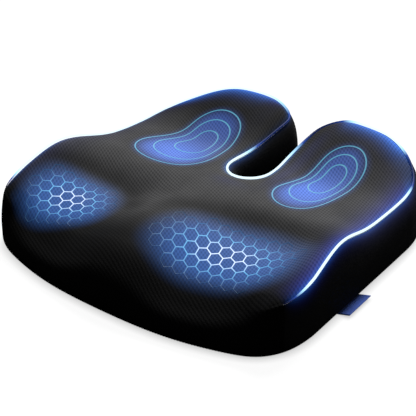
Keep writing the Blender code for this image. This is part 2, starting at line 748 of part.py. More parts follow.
def side_label(finish):
    """A folded woven tab with a round nose, held in the seam under the right wall."""
    rise = LABEL_T + 2 * GAP
    root_inset = BASE_INSET * (1 - math.sqrt(1 - (1 - rise / BASE_ROLL) ** 2))
    middle_y = LABEL_Y
    run = Vector((-SIDE_TAPER, STRAIGHT_TO_Y - STRAIGHT_FROM_Y, 0.0)).normalized()
    out = Vector((run.y, -run.x, 0.0))
    frame = Matrix((out, run, Vector((0.0, 0.0, 1.0)))).transposed().to_4x4()
    frame.translation = Vector((side_x(middle_y), middle_y, GAP + 0.5 * LABEL_T)) - root_inset * out
    turned = frame @ Matrix.Rotation(-LABEL_TILT, 4, "Y")
    half_t = 0.5 * LABEL_T
    nose = [0.5 * math.pi - math.pi * k / 6 for k in range(7)]
    profile = [(0.0, -half_t)] + [
        (LABEL_OUT - half_t + half_t * math.cos(a), half_t * math.sin(a)) for a in reversed(nose)
    ]
    profile.append((0.0, half_t))
    n = len(profile)
    points = [(x, 0.5 * LABEL_L, z) for x, z in profile] + [(x, -0.5 * LABEL_L, z) for x, z in profile]
    faces = [tuple(range(n - 1, -1, -1)), tuple(range(n, 2 * n))]
    faces += [(i, (i + 1) % n, (i + 1) % n + n, i + n) for i in range(n)]
    label = add_object("side_label", points, faces, finish)
    label.matrix_world = turned
    return label


def main():
    clear_scene()
    mesh_cloth = material("black_mesh_fabric", (0.018, 0.018, 0.022), 0.85)
    band_cloth = material("black_band_fabric", (0.012, 0.012, 0.014), 0.88)
    base_cloth = material("black_grip_fabric", (0.020, 0.020, 0.022), 0.92)
    light_cord = material("pale_blue_cord", (0.62, 0.88, 1.0), 0.45)
    foam = material("grey_memory_foam", (0.34, 0.35, 0.38), 0.95)
    gel = material("blue_gel", (0.05, 0.18, 0.70), 0.30)
    tape = material("black_zip_tape", (0.015, 0.015, 0.017), 0.80)
    nylon = material("black_nylon_coil", (0.030, 0.030, 0.034), 0.45)
    metal = material("dark_nickel", (0.18, 0.18, 0.19), 0.32, 1.0)
    woven = material("blue_woven_label", (0.030, 0.085, 0.400), 0.70)

    skin = Skin()
    top_panel(skin, mesh_cloth)
    left_band = band(skin, "side_band_left", LEFT, band_cloth)
    band(skin, "side_band_right", RIGHT, band_cloth)
    band(skin, "slot_band", SLOT, band_cloth)
    bottom_panel(skin, base_cloth)
    edge_piping(skin, light_cord)

    core = foam_blank(skin, "foam_core", FOAM_DEPTH, foam)
    blank = as_guide(foam_blank(skin, "gel_blank", FOAM_DEPTH, gel))
    for name, side in (("left", -1), ("right", 1)):
        at = (side * THIGH_GEL_AT[0], THIGH_GEL_AT[1])
        small = tuple(half - GEL_CLEARANCE for half in THIGH_GEL)
        gel_insert("thigh_gel_" + name, oval(at, THIGH_GEL), oval(at, small), blank, core, gel)
        at = (side * SIT_GEL_AT[0], SIT_GEL_AT[1])
        gel_insert("seat_gel_" + name, kidney(at, 0.0), kidney(at, -GEL_CLEARANCE), blank, core, gel)

    zipper = Zip()
    zip_window(zipper, left_band, core, tape)
    zip_rows(zipper, tape, nylon, metal)
    _, pin_at = zip_slider(zipper, metal)
    zip_pull(pin_at, metal)
    side_label(woven)


main()
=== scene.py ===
# %% [markdown]
# # A contoured seat cushion
# The real object is a block of memory foam in a zipped cover of black mesh knit. The frame that is loaded
# here holds its pieces as plain solids at their true size. This lesson makes each of them again as it
# looks: knit, piping, printed gel fields, a coil zip and a woven tab. Nothing is moved or resized.

# %% Load the frame
import math

import bmesh
import bpy
import numpy as np
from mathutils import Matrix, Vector
from mathutils.geometry import delaunay_2d_cdt
from mathutils.kdtree import KDTree


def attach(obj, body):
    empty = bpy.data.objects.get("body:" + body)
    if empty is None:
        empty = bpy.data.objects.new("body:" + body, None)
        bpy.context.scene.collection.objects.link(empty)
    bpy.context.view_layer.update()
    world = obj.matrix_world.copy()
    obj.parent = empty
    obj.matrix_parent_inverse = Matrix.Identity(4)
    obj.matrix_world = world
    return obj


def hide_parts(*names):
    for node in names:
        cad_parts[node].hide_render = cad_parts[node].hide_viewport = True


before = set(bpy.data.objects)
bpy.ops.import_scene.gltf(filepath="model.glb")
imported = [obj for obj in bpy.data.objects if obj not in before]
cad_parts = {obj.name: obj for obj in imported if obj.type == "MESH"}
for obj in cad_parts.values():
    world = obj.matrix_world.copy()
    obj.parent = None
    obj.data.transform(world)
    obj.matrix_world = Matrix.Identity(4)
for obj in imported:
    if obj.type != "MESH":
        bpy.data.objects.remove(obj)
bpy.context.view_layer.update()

# %% [markdown]
# ## The camera
# A long lens from about 1.7 m, a little above the cushion and to the right of its front. Setting it up
# first means that every later step can be judged in the same view.

# %% Camera
CAMERA_AZIMUTH = math.radians(38.17)
CAMERA_ELEVATION = math.radians(29.34)
CAMERA_DISTANCE = 1.667
CAMERA_AIM = Vector((-0.053, 0.0505, 0.0))
CAMERA_LENS = 108.7


def link_object(name, data):
    made = bpy.data.objects.new(name, data)
    bpy.context.collection.objects.link(made)
    return made


camera_data = bpy.data.cameras.new("camera")
camera_data.lens = CAMERA_LENS
camera = link_object("camera", camera_data)
towards_camera = Vector((
    math.sin(CAMERA_AZIMUTH) * math.cos(CAMERA_ELEVATION),
    -math.cos(CAMERA_AZIMUTH) * math.cos(CAMERA_ELEVATION),
    math.sin(CAMERA_ELEVATION),
))
camera.location = CAMERA_AIM + CAMERA_DISTANCE * towards_camera
camera.rotation_euler = towards_camera.to_track_quat("Z", "Y").to_euler()
bpy.context.scene.camera = camera

# %% [markdown]
# ## The sizes of the skin
# The outer surface of the cover is one skin, ruled by a few sizes. Apart from the cover's thickness they
# are the ones that the solids in the frame were made from, so the skin lies on them, only much finer.

# %% Sizes
WIDTH, DEPTH = 0.450, 0.443
FRONT_CORNER, REAR_CORNER, FRONT_BOW, SIDE_TAPER = 0.062, 0.078, 0.022, 0.012
STRAIGHT_FROM_Y, STRAIGHT_TO_Y = -0.110, 0.118
SLOT_END_Y, SLOT_BULB, SLOT_NECK, MOUTH_FLARE = 0.0520, 0.0165, 0.0105, 0.020
SEAT_Z, REAR_RISE, REAR_RISE_X = 0.073, 0.033, 0.085
BOLSTER_RISE, BOLSTER_Y = 0.024, -0.052
SIT_DIP, SIT_X, SIT_Y = 0.008, 0.102, 0.062
TROUGH_DEPTH, TROUGH_X, TROUGH_HALF_WIDTH = 0.019, 0.112, 0.073
FRONT_FALL = 0.006
RIM_INSET, SIDE_INSET, RIM_DROP, RIM_ROLL = 0.013, 0.003, 0.004, 0.016
FRONT_INSET, FRONT_DROP, FRONT_ROLL = 0.022, 0.010, 0.036
WALL_TOP_Z, FRONT_WALL_TOP_Z = 0.036, 0.015
BASE_ROLL, BASE_INSET = 0.012, 0.005
GAP = 0.0003
COVER_T = 0.0012
PIPING_R = 0.0013
SEAM_TRIM = PIPING_R + GAP

# %% [markdown]
# ## The outline
# The cushion's widest line is a closed curve through a few points. A smooth closed spline has no corner at
# any of them, so only half of the points are written down and the other half is their mirror image. The
# sides are straight, as foam is cut, so the curve is laid on a line there.

# %% Outline
FRONT, RIGHT, SLOT, LEFT = range(4)


def smooth(t):
    t = np.clip(t, 0.0, 1.0)
    return t * t * (3.0 - 2.0 * t)


def bump(value, centre, spread, power=2.0):
    return np.exp(-np.abs((value - centre) / spread) ** power)


def closed_spline(points, per_span=24):
    points = np.asarray(points, float)
    n = len(points)
    after = np.linalg.norm(np.roll(points, -1, 0) - points, axis=1)
    before = np.roll(after, 1)
    system = np.zeros((n, n))
    for i in range(n):
        system[i, i - 1] = after[i]
        system[i, i] = 2.0 * (before[i] + after[i])
        system[i, (i + 1) % n] = before[i]
    rise = (np.roll(points, -1, 0) - points) / after[:, None]
    slope = np.linalg.solve(system, 3.0 * (after[:, None] * np.roll(rise, 1, 0) + before[:, None] * rise))
    t = np.linspace(0.0, 1.0, per_span, endpoint=False)[:, None]
    spans = []
    for i in range(n):
        j = (i + 1) % n
        spans.append(
            (2 * t**3 - 3 * t**2 + 1) * points[i] + (t**3 - 2 * t**2 + t) * slope[i] * after[i]
            + (3 * t**2 - 2 * t**3) * points[j] + (t**3 - t**2) * slope[j] * after[i]
        )
    return np.concatenate(spans)


def side_x(y):
    return WIDTH / 2 - SIDE_TAPER * (y - STRAIGHT_FROM_Y) / (STRAIGHT_TO_Y - STRAIGHT_FROM_Y)


def seam_point():
    return (WIDTH / 2 - 0.14 * FRONT_CORNER, -DEPTH / 2 + FRONT_BOW + 0.66 * FRONT_CORNER)


def half_outline():
    front, rear, side = -DEPTH / 2, DEPTH / 2, WIDTH / 2
    back, turn = side_x(STRAIGHT_TO_Y), DEPTH / 2 - STRAIGHT_TO_Y
    return [
        (0.0, front),
        ((side - FRONT_CORNER) * 0.62, front + 0.30 * FRONT_BOW),
        (side - FRONT_CORNER, front + FRONT_BOW),
        (side - 0.45 * FRONT_CORNER, front + FRONT_BOW + 0.26 * FRONT_CORNER),
        seam_point(),
        (side, STRAIGHT_FROM_Y),
        (side_x(-0.05), -0.05),
        (side_x(0.05), 0.05),
        (back, STRAIGHT_TO_Y),
        (back - 0.09 * REAR_CORNER, rear - 0.66 * turn),
        (back - 0.31 * REAR_CORNER, rear - 0.38 * turn),
        (back - 0.64 * REAR_CORNER, rear - 0.17 * turn),
        (back - 1.05 * REAR_CORNER, rear - 0.045 * turn),
        (0.085, rear),
        (SLOT_NECK + 1.45 * MOUTH_FLARE, rear - 0.10 * MOUTH_FLARE),
        (SLOT_NECK + 0.60 * MOUTH_FLARE, rear - 0.50 * MOUTH_FLARE),
        (SLOT_NECK + 0.12 * MOUTH_FLARE, rear - 1.20 * MOUTH_FLARE),
        (SLOT_NECK, rear - 2.30 * MOUTH_FLARE),
        (0.5 * (SLOT_NECK + SLOT_BULB), SLOT_END_Y + 0.058),
        (SLOT_BULB, SLOT_END_Y + 0.030),
        (0.80 * SLOT_BULB, SLOT_END_Y + 0.009),
        (0.0, SLOT_END_Y),
    ]


right_half = half_outline()
fine = closed_spline(right_half + [(-x, y) for x, y in right_half[-2:0:-1]])
on_side = (fine[:, 1] > STRAIGHT_FROM_Y) & (fine[:, 1] < STRAIGHT_TO_Y) & (np.abs(fine[:, 0]) > 0.1)
fine[on_side, 0] = np.sign(fine[on_side, 0]) * side_x(fine[on_side, 1])
OUTLINE = np.vstack([fine, fine[:1]])
ALONG = np.r_[0.0, np.cumsum(np.linalg.norm(np.diff(OUTLINE, axis=0), axis=1))]
ROUND = ALONG[-1]
print(f"the outline is {ROUND:.3f} m round")


def edge_at(distance):
    distance = np.mod(distance, ROUND)
    return np.stack([np.interp(distance, ALONG, OUTLINE[:, k]) for k in range(2)], axis=-1)


def inward_at(distance):
    ahead = edge_at(np.asarray(distance) + 0.0015) - edge_at(np.asarray(distance) - 0.0015)
    turned = np.stack([-ahead[..., 1], ahead[..., 0]], axis=-1)
    return turned / np.linalg.norm(turned, axis=-1)[..., None]


def nearest_along(point):
    return ALONG[np.argmin(np.linalg.norm(OUTLINE - np.asarray(point), axis=1))]


front_seam = nearest_along(seam_point())
mouth_seam = nearest_along((SLOT_NECK + 0.60 * MOUTH_FLARE, DEPTH / 2 - 0.50 * MOUTH_FLARE))
SEAMS = [-front_seam, front_seam, mouth_seam, ROUND - mouth_seam, ROUND - front_seam]

# %% [markdown]
# ## The top surface
# A height for every place in the plan: a flat seat, plus and minus one named bump for each thing that the
# sitter feels. Near its edge the surface rolls down to the rim, gently round the sides and in a wide
# roll along the front.

# %% Heights


def frontness(x, y):
    return smooth((0.092 - DEPTH / 2 - y) / 0.050) * smooth((WIDTH / 2 - 0.004 - np.abs(x)) / 0.040)


def seat_height(x, y):
    ax = np.abs(x)
    rear = smooth((y - 0.088) / 0.120) * bump(ax, REAR_RISE_X, np.where(ax < REAR_RISE_X, 0.068, 0.098), 2.6)
    bolster = bump(ax, WIDTH / 2, 0.052) * bump(y, BOLSTER_Y, 0.062)
    dips = bump(ax, SIT_X, 0.052) * bump(y, SIT_Y, 0.066)
    trough = smooth((0.002 - y) / 0.070) * bump(ax, TROUGH_X, TROUGH_HALF_WIDTH, 3.2)
    fall = smooth((-0.090 - y) / 0.130)
    raised = REAR_RISE * rear + BOLSTER_RISE * bolster
    return SEAT_Z + raised - SIT_DIP * dips - TROUGH_DEPTH * trough - FRONT_FALL * fall


def rim_at(distance):
    edge = edge_at(distance)
    inset = SIDE_INSET + (RIM_INSET - SIDE_INSET) * smooth((edge[..., 1] + 0.13) / 0.20)
    inset += (FRONT_INSET - inset) * frontness(edge[..., 0], edge[..., 1])
    return edge + inset[..., None] * inward_at(distance)


RIM_LOOP = rim_at(np.linspace(0.0, ROUND, 500, endpoint=False))


def distance_to(loop, points, batch=3000):
    step = (np.roll(loop, -1, 0) - loop)[None, :, :]
    found = []
    for start in range(0, len(points), batch):
        to = points[start:start + batch, None, :2] - loop[None, :, :]
        share = np.clip((to * step).sum(2) / (step**2).sum(2), 0.0, 1.0)
        found.append(np.linalg.norm(to - share[:, :, None] * step, axis=2).min(axis=1))
    return np.concatenate(found)


def top_height(x, y, from_rim):
    f = frontness(x, y)
    drop = RIM_DROP + (FRONT_DROP - RIM_DROP) * f
    roll = RIM_ROLL + (FRONT_ROLL - RIM_ROLL) * f
    return seat_height(x, y) - drop * np.clip(1.0 - from_rim / roll, 0.0, 1.0) ** 2


def inside(loop, points):
    x, y = points[:, 0][:, None], points[:, 1][:, None]
    a, b = loop[None], np.roll(loop, -1, 0)[None]
    spans = (a[..., 1] > y) != (b[..., 1] > y)
    rise = np.where(b[..., 1] == a[..., 1], 1e-12, b[..., 1] - a[..., 1])
    return (spans & (x < (b[..., 0] - a[..., 0]) * (y - a[..., 1]) / rise + a[..., 0])).sum(1) % 2 == 1


# %% [markdown]
# ## The wall
# Each place along the outline gets a profile in a vertical plane: a curve from the rim out to the widest
# line, straight down, and a small roll under. Where a seam pulls the cloth in, the skin sinks a little
# along its own normal, which is what makes a sewn edge look sewn and not moulded.

# %% Wall profiles
CURVE_STEPS = 24
CREASE_DEPTH, CREASE_WIDTH = 0.0011, 0.0017


def wall_profile(inset, rim_z, slope, upright):
    lean = math.atan(slope)
    start, end = np.array([inset, rim_z]), np.array([0.0, upright])
    first = start + 0.62 * inset * np.array([-math.cos(lean), -math.sin(lean)])
    last = end + np.array([0.0, 0.58 * (rim_z - upright)])
    t = np.linspace(0.0, 1.0, CURVE_STEPS + 1)[:, None]
    upper = (1 - t) ** 3 * start + 3 * (1 - t) ** 2 * t * first + 3 * (1 - t) * t * t * last + t**3 * end
    turn = np.linspace(0.0, 0.5 * math.pi, 13)
    lower = np.stack([BASE_INSET * (1 - np.cos(turn)), BASE_ROLL + (GAP - BASE_ROLL) * np.sin(turn)], axis=1)
    return np.vstack([upper, lower])


def crease(distance):
    return CREASE_DEPTH * np.exp(-np.maximum(distance, 0.0) / CREASE_WIDTH)


def wall(distances, near, rows, sewn_top=True, sink=0.0):
    """Columns of points down the wall, with the distance of each from the rim and to the base seam."""
    edge, inward = edge_at(distances), inward_at(distances)
    rim = rim_at(distances)
    inset = np.linalg.norm(rim - edge, axis=1)
    zeros = np.zeros(len(distances))
    rim_z = top_height(rim[:, 0], rim[:, 1], zeros)
    within = rim + 0.002 * inward
    slope = np.clip((top_height(within[:, 0], within[:, 1], zeros + 0.002) - rim_z) / 0.002, 0.05, 2.0)
    f = frontness(edge[:, 0], edge[:, 1])
    upright = WALL_TOP_Z + (FRONT_WALL_TOP_Z - WALL_TOP_Z) * f
    points, down, left = [], [], []
    for i in range(len(distances)):
        profile = wall_profile(inset[i], rim_z[i], slope[i], upright[i])
        run = np.r_[0.0, np.cumsum(np.linalg.norm(np.diff(profile, axis=0), axis=1))]
        at = np.r_[near, near[-1] + (run[-1] - near[-1]) * np.linspace(0.0, 1.0, rows + 1)[1:]]
        flat, ahead, behind = (
            np.stack([np.interp(at + shift, run, profile[:, k]) for k in range(2)], axis=1)
            for shift in (0.0, 0.0012, -0.0012)
        )
        tangent = ahead - behind
        tangent /= np.linalg.norm(tangent, axis=1)[:, None]
        pulled = crease(run[-1] - at) + (crease(at - SEAM_TRIM) if sewn_top else 0.0) + sink
        step = flat[:, 0] - pulled * tangent[:, 1]
        z = flat[:, 1] + pulled * tangent[:, 0]
        points.append(np.column_stack([edge[i] + step[:, None] * inward[i], z]))
        down.append(at)
        left.append(run[-1] - at)
    return np.array(points), np.array(down), np.array(left)


# %% [markdown]
# ## Turning rows into meshes
# Pieces are built from arrays of points. These helpers make the faces of a grid of columns, and an object
# with a UV map, whose unit is one metre so that a knit keeps its real size on every piece.

# %% Mesh helpers


def add_values(mesh, **values):
    for key, value in values.items():
        mesh.attributes.new(key, "FLOAT", "POINT").data.foreach_set("value", np.asarray(value, np.float32))


def new_object(name, points, faces, material=None, uv=None, **attributes):
    mesh = bpy.data.meshes.new(name)
    mesh.from_pydata(np.asarray(points, float).tolist(), [], [tuple(map(int, f)) for f in faces])
    if uv is not None:
        layer = mesh.uv_layers.new(name="weave")
        corners = np.empty(len(mesh.loops), np.int32)
        mesh.loops.foreach_get("vertex_index", corners)
        layer.data.foreach_set("uv", np.asarray(uv, np.float32)[corners].ravel())
    add_values(mesh, **attributes)
    mesh.shade_smooth()
    if material:
        mesh.materials.append(material)
    return link_object(name, mesh)


def grid_faces(columns, rows, closed=False):
    faces = []
    for i in range(columns if closed else columns - 1):
        for k in range(rows - 1):
            here, there = i * rows + k, (i + 1) % columns * rows + k
            faces.append((here, here + 1, there + 1, there))
    return faces


def fill(points, ring_count):
    """Triangles inside the ring of the first points, and the number of the point each corner came from."""
    flat, _, faces, origins, _, _ = delaunay_2d_cdt(
        [Vector(p) for p in points], [], [list(range(ring_count))], 1, 1e-6
    )
    return np.array([p[:] for p in flat]), faces, [origin[0] if origin else -1 for origin in origins]


def join_top(points, flat, heights, origins, count, rows):
    """Adds the filled top to a wall's points. Corners on one of the wall's columns use its first point."""
    number = {}
    for i, origin in enumerate(origins):
        if 0 <= origin < count:
            number[i] = origin * rows
        else:
            number[i] = len(points)
            points.append(np.array([*flat[i], heights[i]]))
    return number


def staggered(step, rows, half_columns):
    """Points of a grid whose every other row is moved by half a step."""
    return np.array([
        (step * x + (0.5 * step if row % 2 else 0.0), -DEPTH / 2 + row * step)
        for row in range(rows) for x in range(-half_columns, half_columns + 1)
    ])


def sewn_share(x, y):
    """1 where the top is sewn to a band, and 0 along the front, where it runs down with no seam."""
    return 1.0 - smooth(frontness(x, y) * 1.6)


def thicken(piece, thickness, offset=-1.0):
    shell = piece.modifiers.new("cloth", "SOLIDIFY")
    shell.thickness = thickness
    shell.offset = offset


# %% [markdown]
# ## The skin's columns and its top
# The wall's columns stand 2.6 mm apart. The top is filled with triangles between the rim and a staggered
# grid, with closer rings of points near the rim, where the surface turns fastest.

# %% Columns and top
COLUMN_STEP = 0.0026
TOP_GRID = 0.0034
NEAR_ROWS = np.array([1.6, 2.2, 3.0, 4.2, 6.0, 8.5]) * 0.001
FRONT_ROWS = np.array([0.0, 1.5, 3.0, 4.5, 6.0, 8.5]) * 0.001
WALL_ROWS = 26
TOP_RINGS, GRID_FROM_RIM = (0.0023, 0.0032, 0.0046, 0.0068, 0.0096, 0.0128), 0.0150
columns = []
for zone in (FRONT, RIGHT, SLOT, LEFT):
    start, end = SEAMS[zone] + GAP / 2, SEAMS[zone + 1] - GAP / 2
    columns.append(np.linspace(start, end, round((end - start) / COLUMN_STEP) + 1))

others = np.concatenate([columns[zone] for zone in (RIGHT, SLOT, LEFT)])
trimmed = rim_at(others) + SEAM_TRIM * inward_at(others)
rim_ring = np.vstack([rim_at(columns[FRONT]), trimmed])
everywhere = np.concatenate(columns)
candidates = [(rim_at(everywhere) + near * inward_at(everywhere), near) for near in TOP_RINGS]
candidates.append((staggered(TOP_GRID, int(DEPTH / TOP_GRID) + 1, 66), GRID_FROM_RIM))
filling = []
for points, needed in candidates:
    points = points[inside(RIM_LOOP, points)]
    filling.append(points[distance_to(RIM_LOOP, points) > needed - 0.0004])
plan = np.vstack([rim_ring] + filling)
TOP_PLAN, fill_faces, fill_origins = fill(plan, len(rim_ring))
print(f"the top has {len(TOP_PLAN)} points and {len(fill_faces)} triangles")

from_rim = distance_to(RIM_LOOP, TOP_PLAN)
top_z = top_height(TOP_PLAN[:, 0], TOP_PLAN[:, 1], from_rim)
top_z = top_z - sewn_share(TOP_PLAN[:, 0], TOP_PLAN[:, 1]) * crease(from_rim - SEAM_TRIM)

front_wall, front_down, _ = wall(columns[FRONT], FRONT_ROWS, WALL_ROWS, sewn_top=False)
ROWS = front_wall.shape[1]
front_count = len(columns[FRONT])
top_points = list(front_wall.reshape(-1, 3))
rim_front, inward_front = rim_at(columns[FRONT]), inward_at(columns[FRONT])
top_uv = list((rim_front[:, None, :] - front_down[:, :, None] * inward_front[:, None, :]).reshape(-1, 2))
number = join_top(top_points, TOP_PLAN, top_z, fill_origins, front_count, ROWS)
top_uv += [TOP_PLAN[i] for i, at in number.items() if at >= front_count * ROWS]
top_points, top_uv = np.array(top_points), np.array(top_uv)
top_faces = grid_faces(front_count, ROWS) + [tuple(number[v] for v in face) for face in fill_faces]

# %% [markdown]
# ## Letting the cloth settle
# The knit is stretched over foam and held only at its seams, so between them it swells a little. A coarse
# copy of the skin is given Blender's cloth with a small pressure and no gravity, pinned along its seams.
# How far each of its points swelled outwards, up to a small limit, is passed on to the fine points nearby.

# %% Cloth simulation
COARSE_STEP = 0.0085
SWELL_LIMIT = 0.0022
SPREAD, NEIGHBOURS = 2.2 * COARSE_STEP, 30
CLOTH_FRAMES = 20
CLOTH_SETTINGS = dict(
    vertex_group_mass="seams", use_pressure=True, uniform_pressure_force=4.0, mass=0.3, quality=6,
    tension_stiffness=12, compression_stiffness=12, bending_stiffness=4,
)


def coarse_skin():
    distances = np.concatenate([
        np.linspace(SEAMS[z], SEAMS[z + 1], round((SEAMS[z + 1] - SEAMS[z]) / COARSE_STEP), endpoint=False)
        for z in (FRONT, RIGHT, SLOT, LEFT)
    ])
    grid, _, _ = wall(distances, np.array([0.0, 0.004]), 11, sewn_top=False)
    count, rows = grid.shape[:2]
    inner = staggered(COARSE_STEP, int(DEPTH / COARSE_STEP), 27)
    inner = inner[inside(RIM_LOOP, inner)]
    inner = inner[distance_to(RIM_LOOP, inner) > 0.6 * COARSE_STEP]
    xy, faces, origins = fill(np.vstack([rim_at(distances), inner]), count)
    z = top_height(xy[:, 0], xy[:, 1], distance_to(RIM_LOOP, xy))
    points = list(grid.reshape(-1, 3))
    ids = join_top(points, xy, z, origins, count, rows)
    all_faces = grid_faces(count, rows, True) + [tuple(ids[v] for v in face) for face in faces]
    all_faces.append(tuple(i * rows + rows - 1 for i in reversed(range(count))))
    on_front = (distances < SEAMS[1]) | (distances > SEAMS[4])
    held = [i * rows for i in range(count) if not on_front[i]] + [i * rows + rows - 1 for i in range(count)]
    held += [i * rows + rows - 2 for i in range(count)]
    return np.array(points), all_faces, held


def simulate_cloth(points, faces, held):
    body = new_object("swelling_skin", points, faces)
    pins = body.vertex_groups.new(name="seams")
    pins.add(held, 1.0, "REPLACE")
    cloth = body.modifiers.new("cloth", "CLOTH")
    for key, value in CLOTH_SETTINGS.items():
        setattr(cloth.settings, key, value)
    cloth.settings.effector_weights.gravity = 0.0
    cloth.collision_settings.use_collision = False
    for step in range(1, CLOTH_FRAMES + 1):
        bpy.context.scene.frame_set(step)
    settled = body.evaluated_get(bpy.context.evaluated_depsgraph_get())
    after = np.empty(len(points) * 3, np.float32)
    settled.data.vertices.foreach_get("co", after)
    outwards = np.empty(len(points) * 3, np.float32)
    body.data.vertices.foreach_get("normal", outwards)
    outwards = outwards.reshape(-1, 3)
    bpy.context.scene.frame_set(1)
    bpy.data.objects.remove(body)
    swelling = ((after.reshape(-1, 3) - points) * outwards).sum(1)
    print(f"the cloth moved by {1000 * swelling.min():.1f} to {1000 * swelling.max():.1f} mm")
    return np.clip(swelling, 0.0, SWELL_LIMIT)[:, None] * outwards


coarse_points, coarse_faces, coarse_held = coarse_skin()
coarse_moved = simulate_cloth(coarse_points, coarse_faces, coarse_held)
print(f"the cloth swelled by up to {1000 * np.linalg.norm(coarse_moved, axis=1).max():.1f} mm")
coarse_tree = KDTree(len(coarse_points))
for i, point in enumerate(coarse_points):
    coarse_tree.insert(point, i)
coarse_tree.balance()


def settle(points):
    """Moves fine points by what the cloth did to the coarse ones around them."""
    points = np.asarray(points, float)
    settled = points.copy()
    for i, point in enumerate(points):
        weights, shift = 0.0, np.zeros(3)
        for _, near, distance in coarse_tree.find_n(point, NEIGHBOURS):
            weight = math.exp(-((distance / SPREAD) ** 2)) + 1e-6
            weights += weight
            shift += weight * coarse_moved[near]
        settled[i] += shift / weights
    return settled


# %% [markdown]
# ## Where the cover glows
# Four soft blue fields of painted glow mark the gel under the knit: a honeycomb over each thigh and three
# nested contours under each sit bone. They are kept as numbers on the points of the cover, so the colour
# follows the cloth.

# %% Glow fields
CONTOURS = {
    "left": ((-0.0934, 0.0895), [(-151, 19), (-158, 40), (-153, 56), (-141, 78), (-133, 104), (-128, 131),
                               (-113, 148), (-89, 151), (-66, 138), (-55, 110), (-51, 75), (-53, 44),
                               (-68, 21), (-97, 10), (-128, 9)]),
    "right": ((0.1030, 0.1075), [(67, 26), (60, 45), (65, 68), (71, 92), (73, 120), (77, 142), (90, 157),
                               (107, 160), (124, 150), (134, 131), (137, 104), (134, 74), (128, 46),
                               (114, 21), (94, 13), (77, 17)]),
}
CONTOUR_SCALES = (1.0, 0.725, 0.413)
# Centre, half size across, half size front to back, and turn in radians.
THIGH_FIELDS = {
    "left": ((-0.138, -0.119), 0.062, 0.054, -0.30),
    "right": ((0.096, -0.106), 0.098, 0.062, -0.22),
}
FIELD_POWER = 2.2


def contour(side, scale):
    centre, shape = CONTOURS[side]
    curve = closed_spline(np.array(shape) * 0.001, 10)
    return np.array(centre) + scale * (curve - np.array(centre))


def signed_depth(loop, points):
    depth = distance_to(loop, points)
    return np.where(inside(loop, points), depth, -depth)


def field_radius(field, points):
    """0 in the middle of a thigh field and 1 on its edge."""
    (cx, cy), across, deep, turn = field
    x, y = points[:, 0] - cx, points[:, 1] - cy
    along = x * math.cos(turn) - y * math.sin(turn)
    over = x * math.sin(turn) + y * math.cos(turn)
    total = (np.abs(along) / across) ** FIELD_POWER + (np.abs(over) / deep) ** FIELD_POWER
    return total ** (1 / FIELD_POWER)


def seat_glow(points):
    glow = np.zeros(len(points))
    for side in CONTOURS:
        (cx, cy), _ = CONTOURS[side]
        depth = signed_depth(contour(side, 1.0), points)
        bright_x, bright_y = cx - 0.014, cy - 0.044
        lit = 0.36 + 0.64 * np.exp(
            -(((points[:, 0] - bright_x) / 0.048) ** 2) - ((points[:, 1] - bright_y) / 0.036) ** 2
        )
        glow = np.maximum(glow, smooth((depth + 0.011) / 0.030) * lit)
    return glow


def thigh_glow(points):
    glow = np.zeros(len(points))
    for field in THIGH_FIELDS.values():
        glow = np.maximum(glow, smooth((1.22 - field_radius(field, points)) / 0.72))
    return glow


# Where the piping is unlit, and how far round that place.
DARK_ENDS = [((0.188, 0.176), 0.040), ((0.024, 0.196), 0.040), ((-0.022, 0.160), 0.052)]


def painted_knit_shade(points):
    """Painted shade on the knit: it stays pale in the middle of the seat and turns black down the front and
    at the rear; it is darker along the sides and behind each thigh field, and a little darker in the thigh
    fields.
    """
    x, y = points[:, 0], points[:, 1]
    shade = 1.0 - smooth((y - 0.060) / 0.110) * (0.62 - 1.4 * x)
    shade = shade * (1.0 - 0.955 * smooth((-0.062 - y) / 0.100))
    shade = shade * (1.0 - 0.20 * bump(np.abs(x), 0.215, 0.040))
    for field in THIGH_FIELDS.values():
        (_, middle), _, deep, _ = field
        behind = smooth((y - middle - 0.1 * deep) / (0.7 * deep))
        shade = shade * (1.0 - 0.50 * behind * bump(field_radius(field, points), 1.26, 0.30))
    return np.clip(shade * (1.0 - 0.35 * thigh_glow(points)), 0.035, 1.0)


def line_light(points):
    """How brightly the piping is lit: less at the front corners, a rear corner and the slot's mouth."""
    light = smooth((points[:, 1] + 0.158) / 0.040)
    for (x, y), reach in DARK_ENDS:
        away = ((points[:, 0] - x) ** 2 + (points[:, 1] - y) ** 2) / reach**2
        light = light * (1.0 - 0.92 * np.exp(-away**2))
    return light


# %% [markdown]
# ## Shader groups
# Two effects are shared by several finishes, so each is a node group with named inputs: a knit or weave
# that reads the piece's UV map in metres, and a slow unevenness of dye and wear with a fine fuzz. Each
# material makes its own height for a Bump node from them, and keeps its own Principled shader.

# %% Shader node helpers


class Shader:
    """A short way to write node trees: each call adds a node and returns its first output."""

    def __init__(self, tree):
        self.tree = tree

    def add(self, kind, settings=None, output=0, **inputs):
        made = self.tree.nodes.new(kind)
        for key, value in (settings or {}).items():
            setattr(made, key, value)
        for key, value in inputs.items():
            self.set(made, key.replace("_", " "), value)
        return made if output is None else made.outputs[output]

    def set(self, node, key, value):
        socket = node.inputs[int(key[2:])] if key.startswith("in") and key[2:].isdigit() else node.inputs[key]
        if isinstance(value, bpy.types.NodeSocket):
            self.tree.links.new(value, socket)
        else:
            socket.default_value = value

    def math(self, operation, a, b=0.0, c=0.0):
        return self.add("ShaderNodeMath", {"operation": operation}, in0=a, in1=b, in2=c)

    def scaled(self, vector, amount):
        return self.add("ShaderNodeVectorMath", {"operation": "SCALE"}, in0=vector, Scale=amount)

    def summed(self, a, b):
        return self.add("ShaderNodeVectorMath", {"operation": "ADD"}, in0=a, in1=b)

    def attribute(self, name):
        return self.add("ShaderNodeAttribute", {"attribute_name": name}, 2)

    def mix(self, factor, a, b):
        node = self.add("ShaderNodeMix", {"data_type": "RGBA"}, None)
        for index, value in ((0, factor), (6, a), (7, b)):
            self.set(node, f"in{index}", value)
        return node.outputs[2]


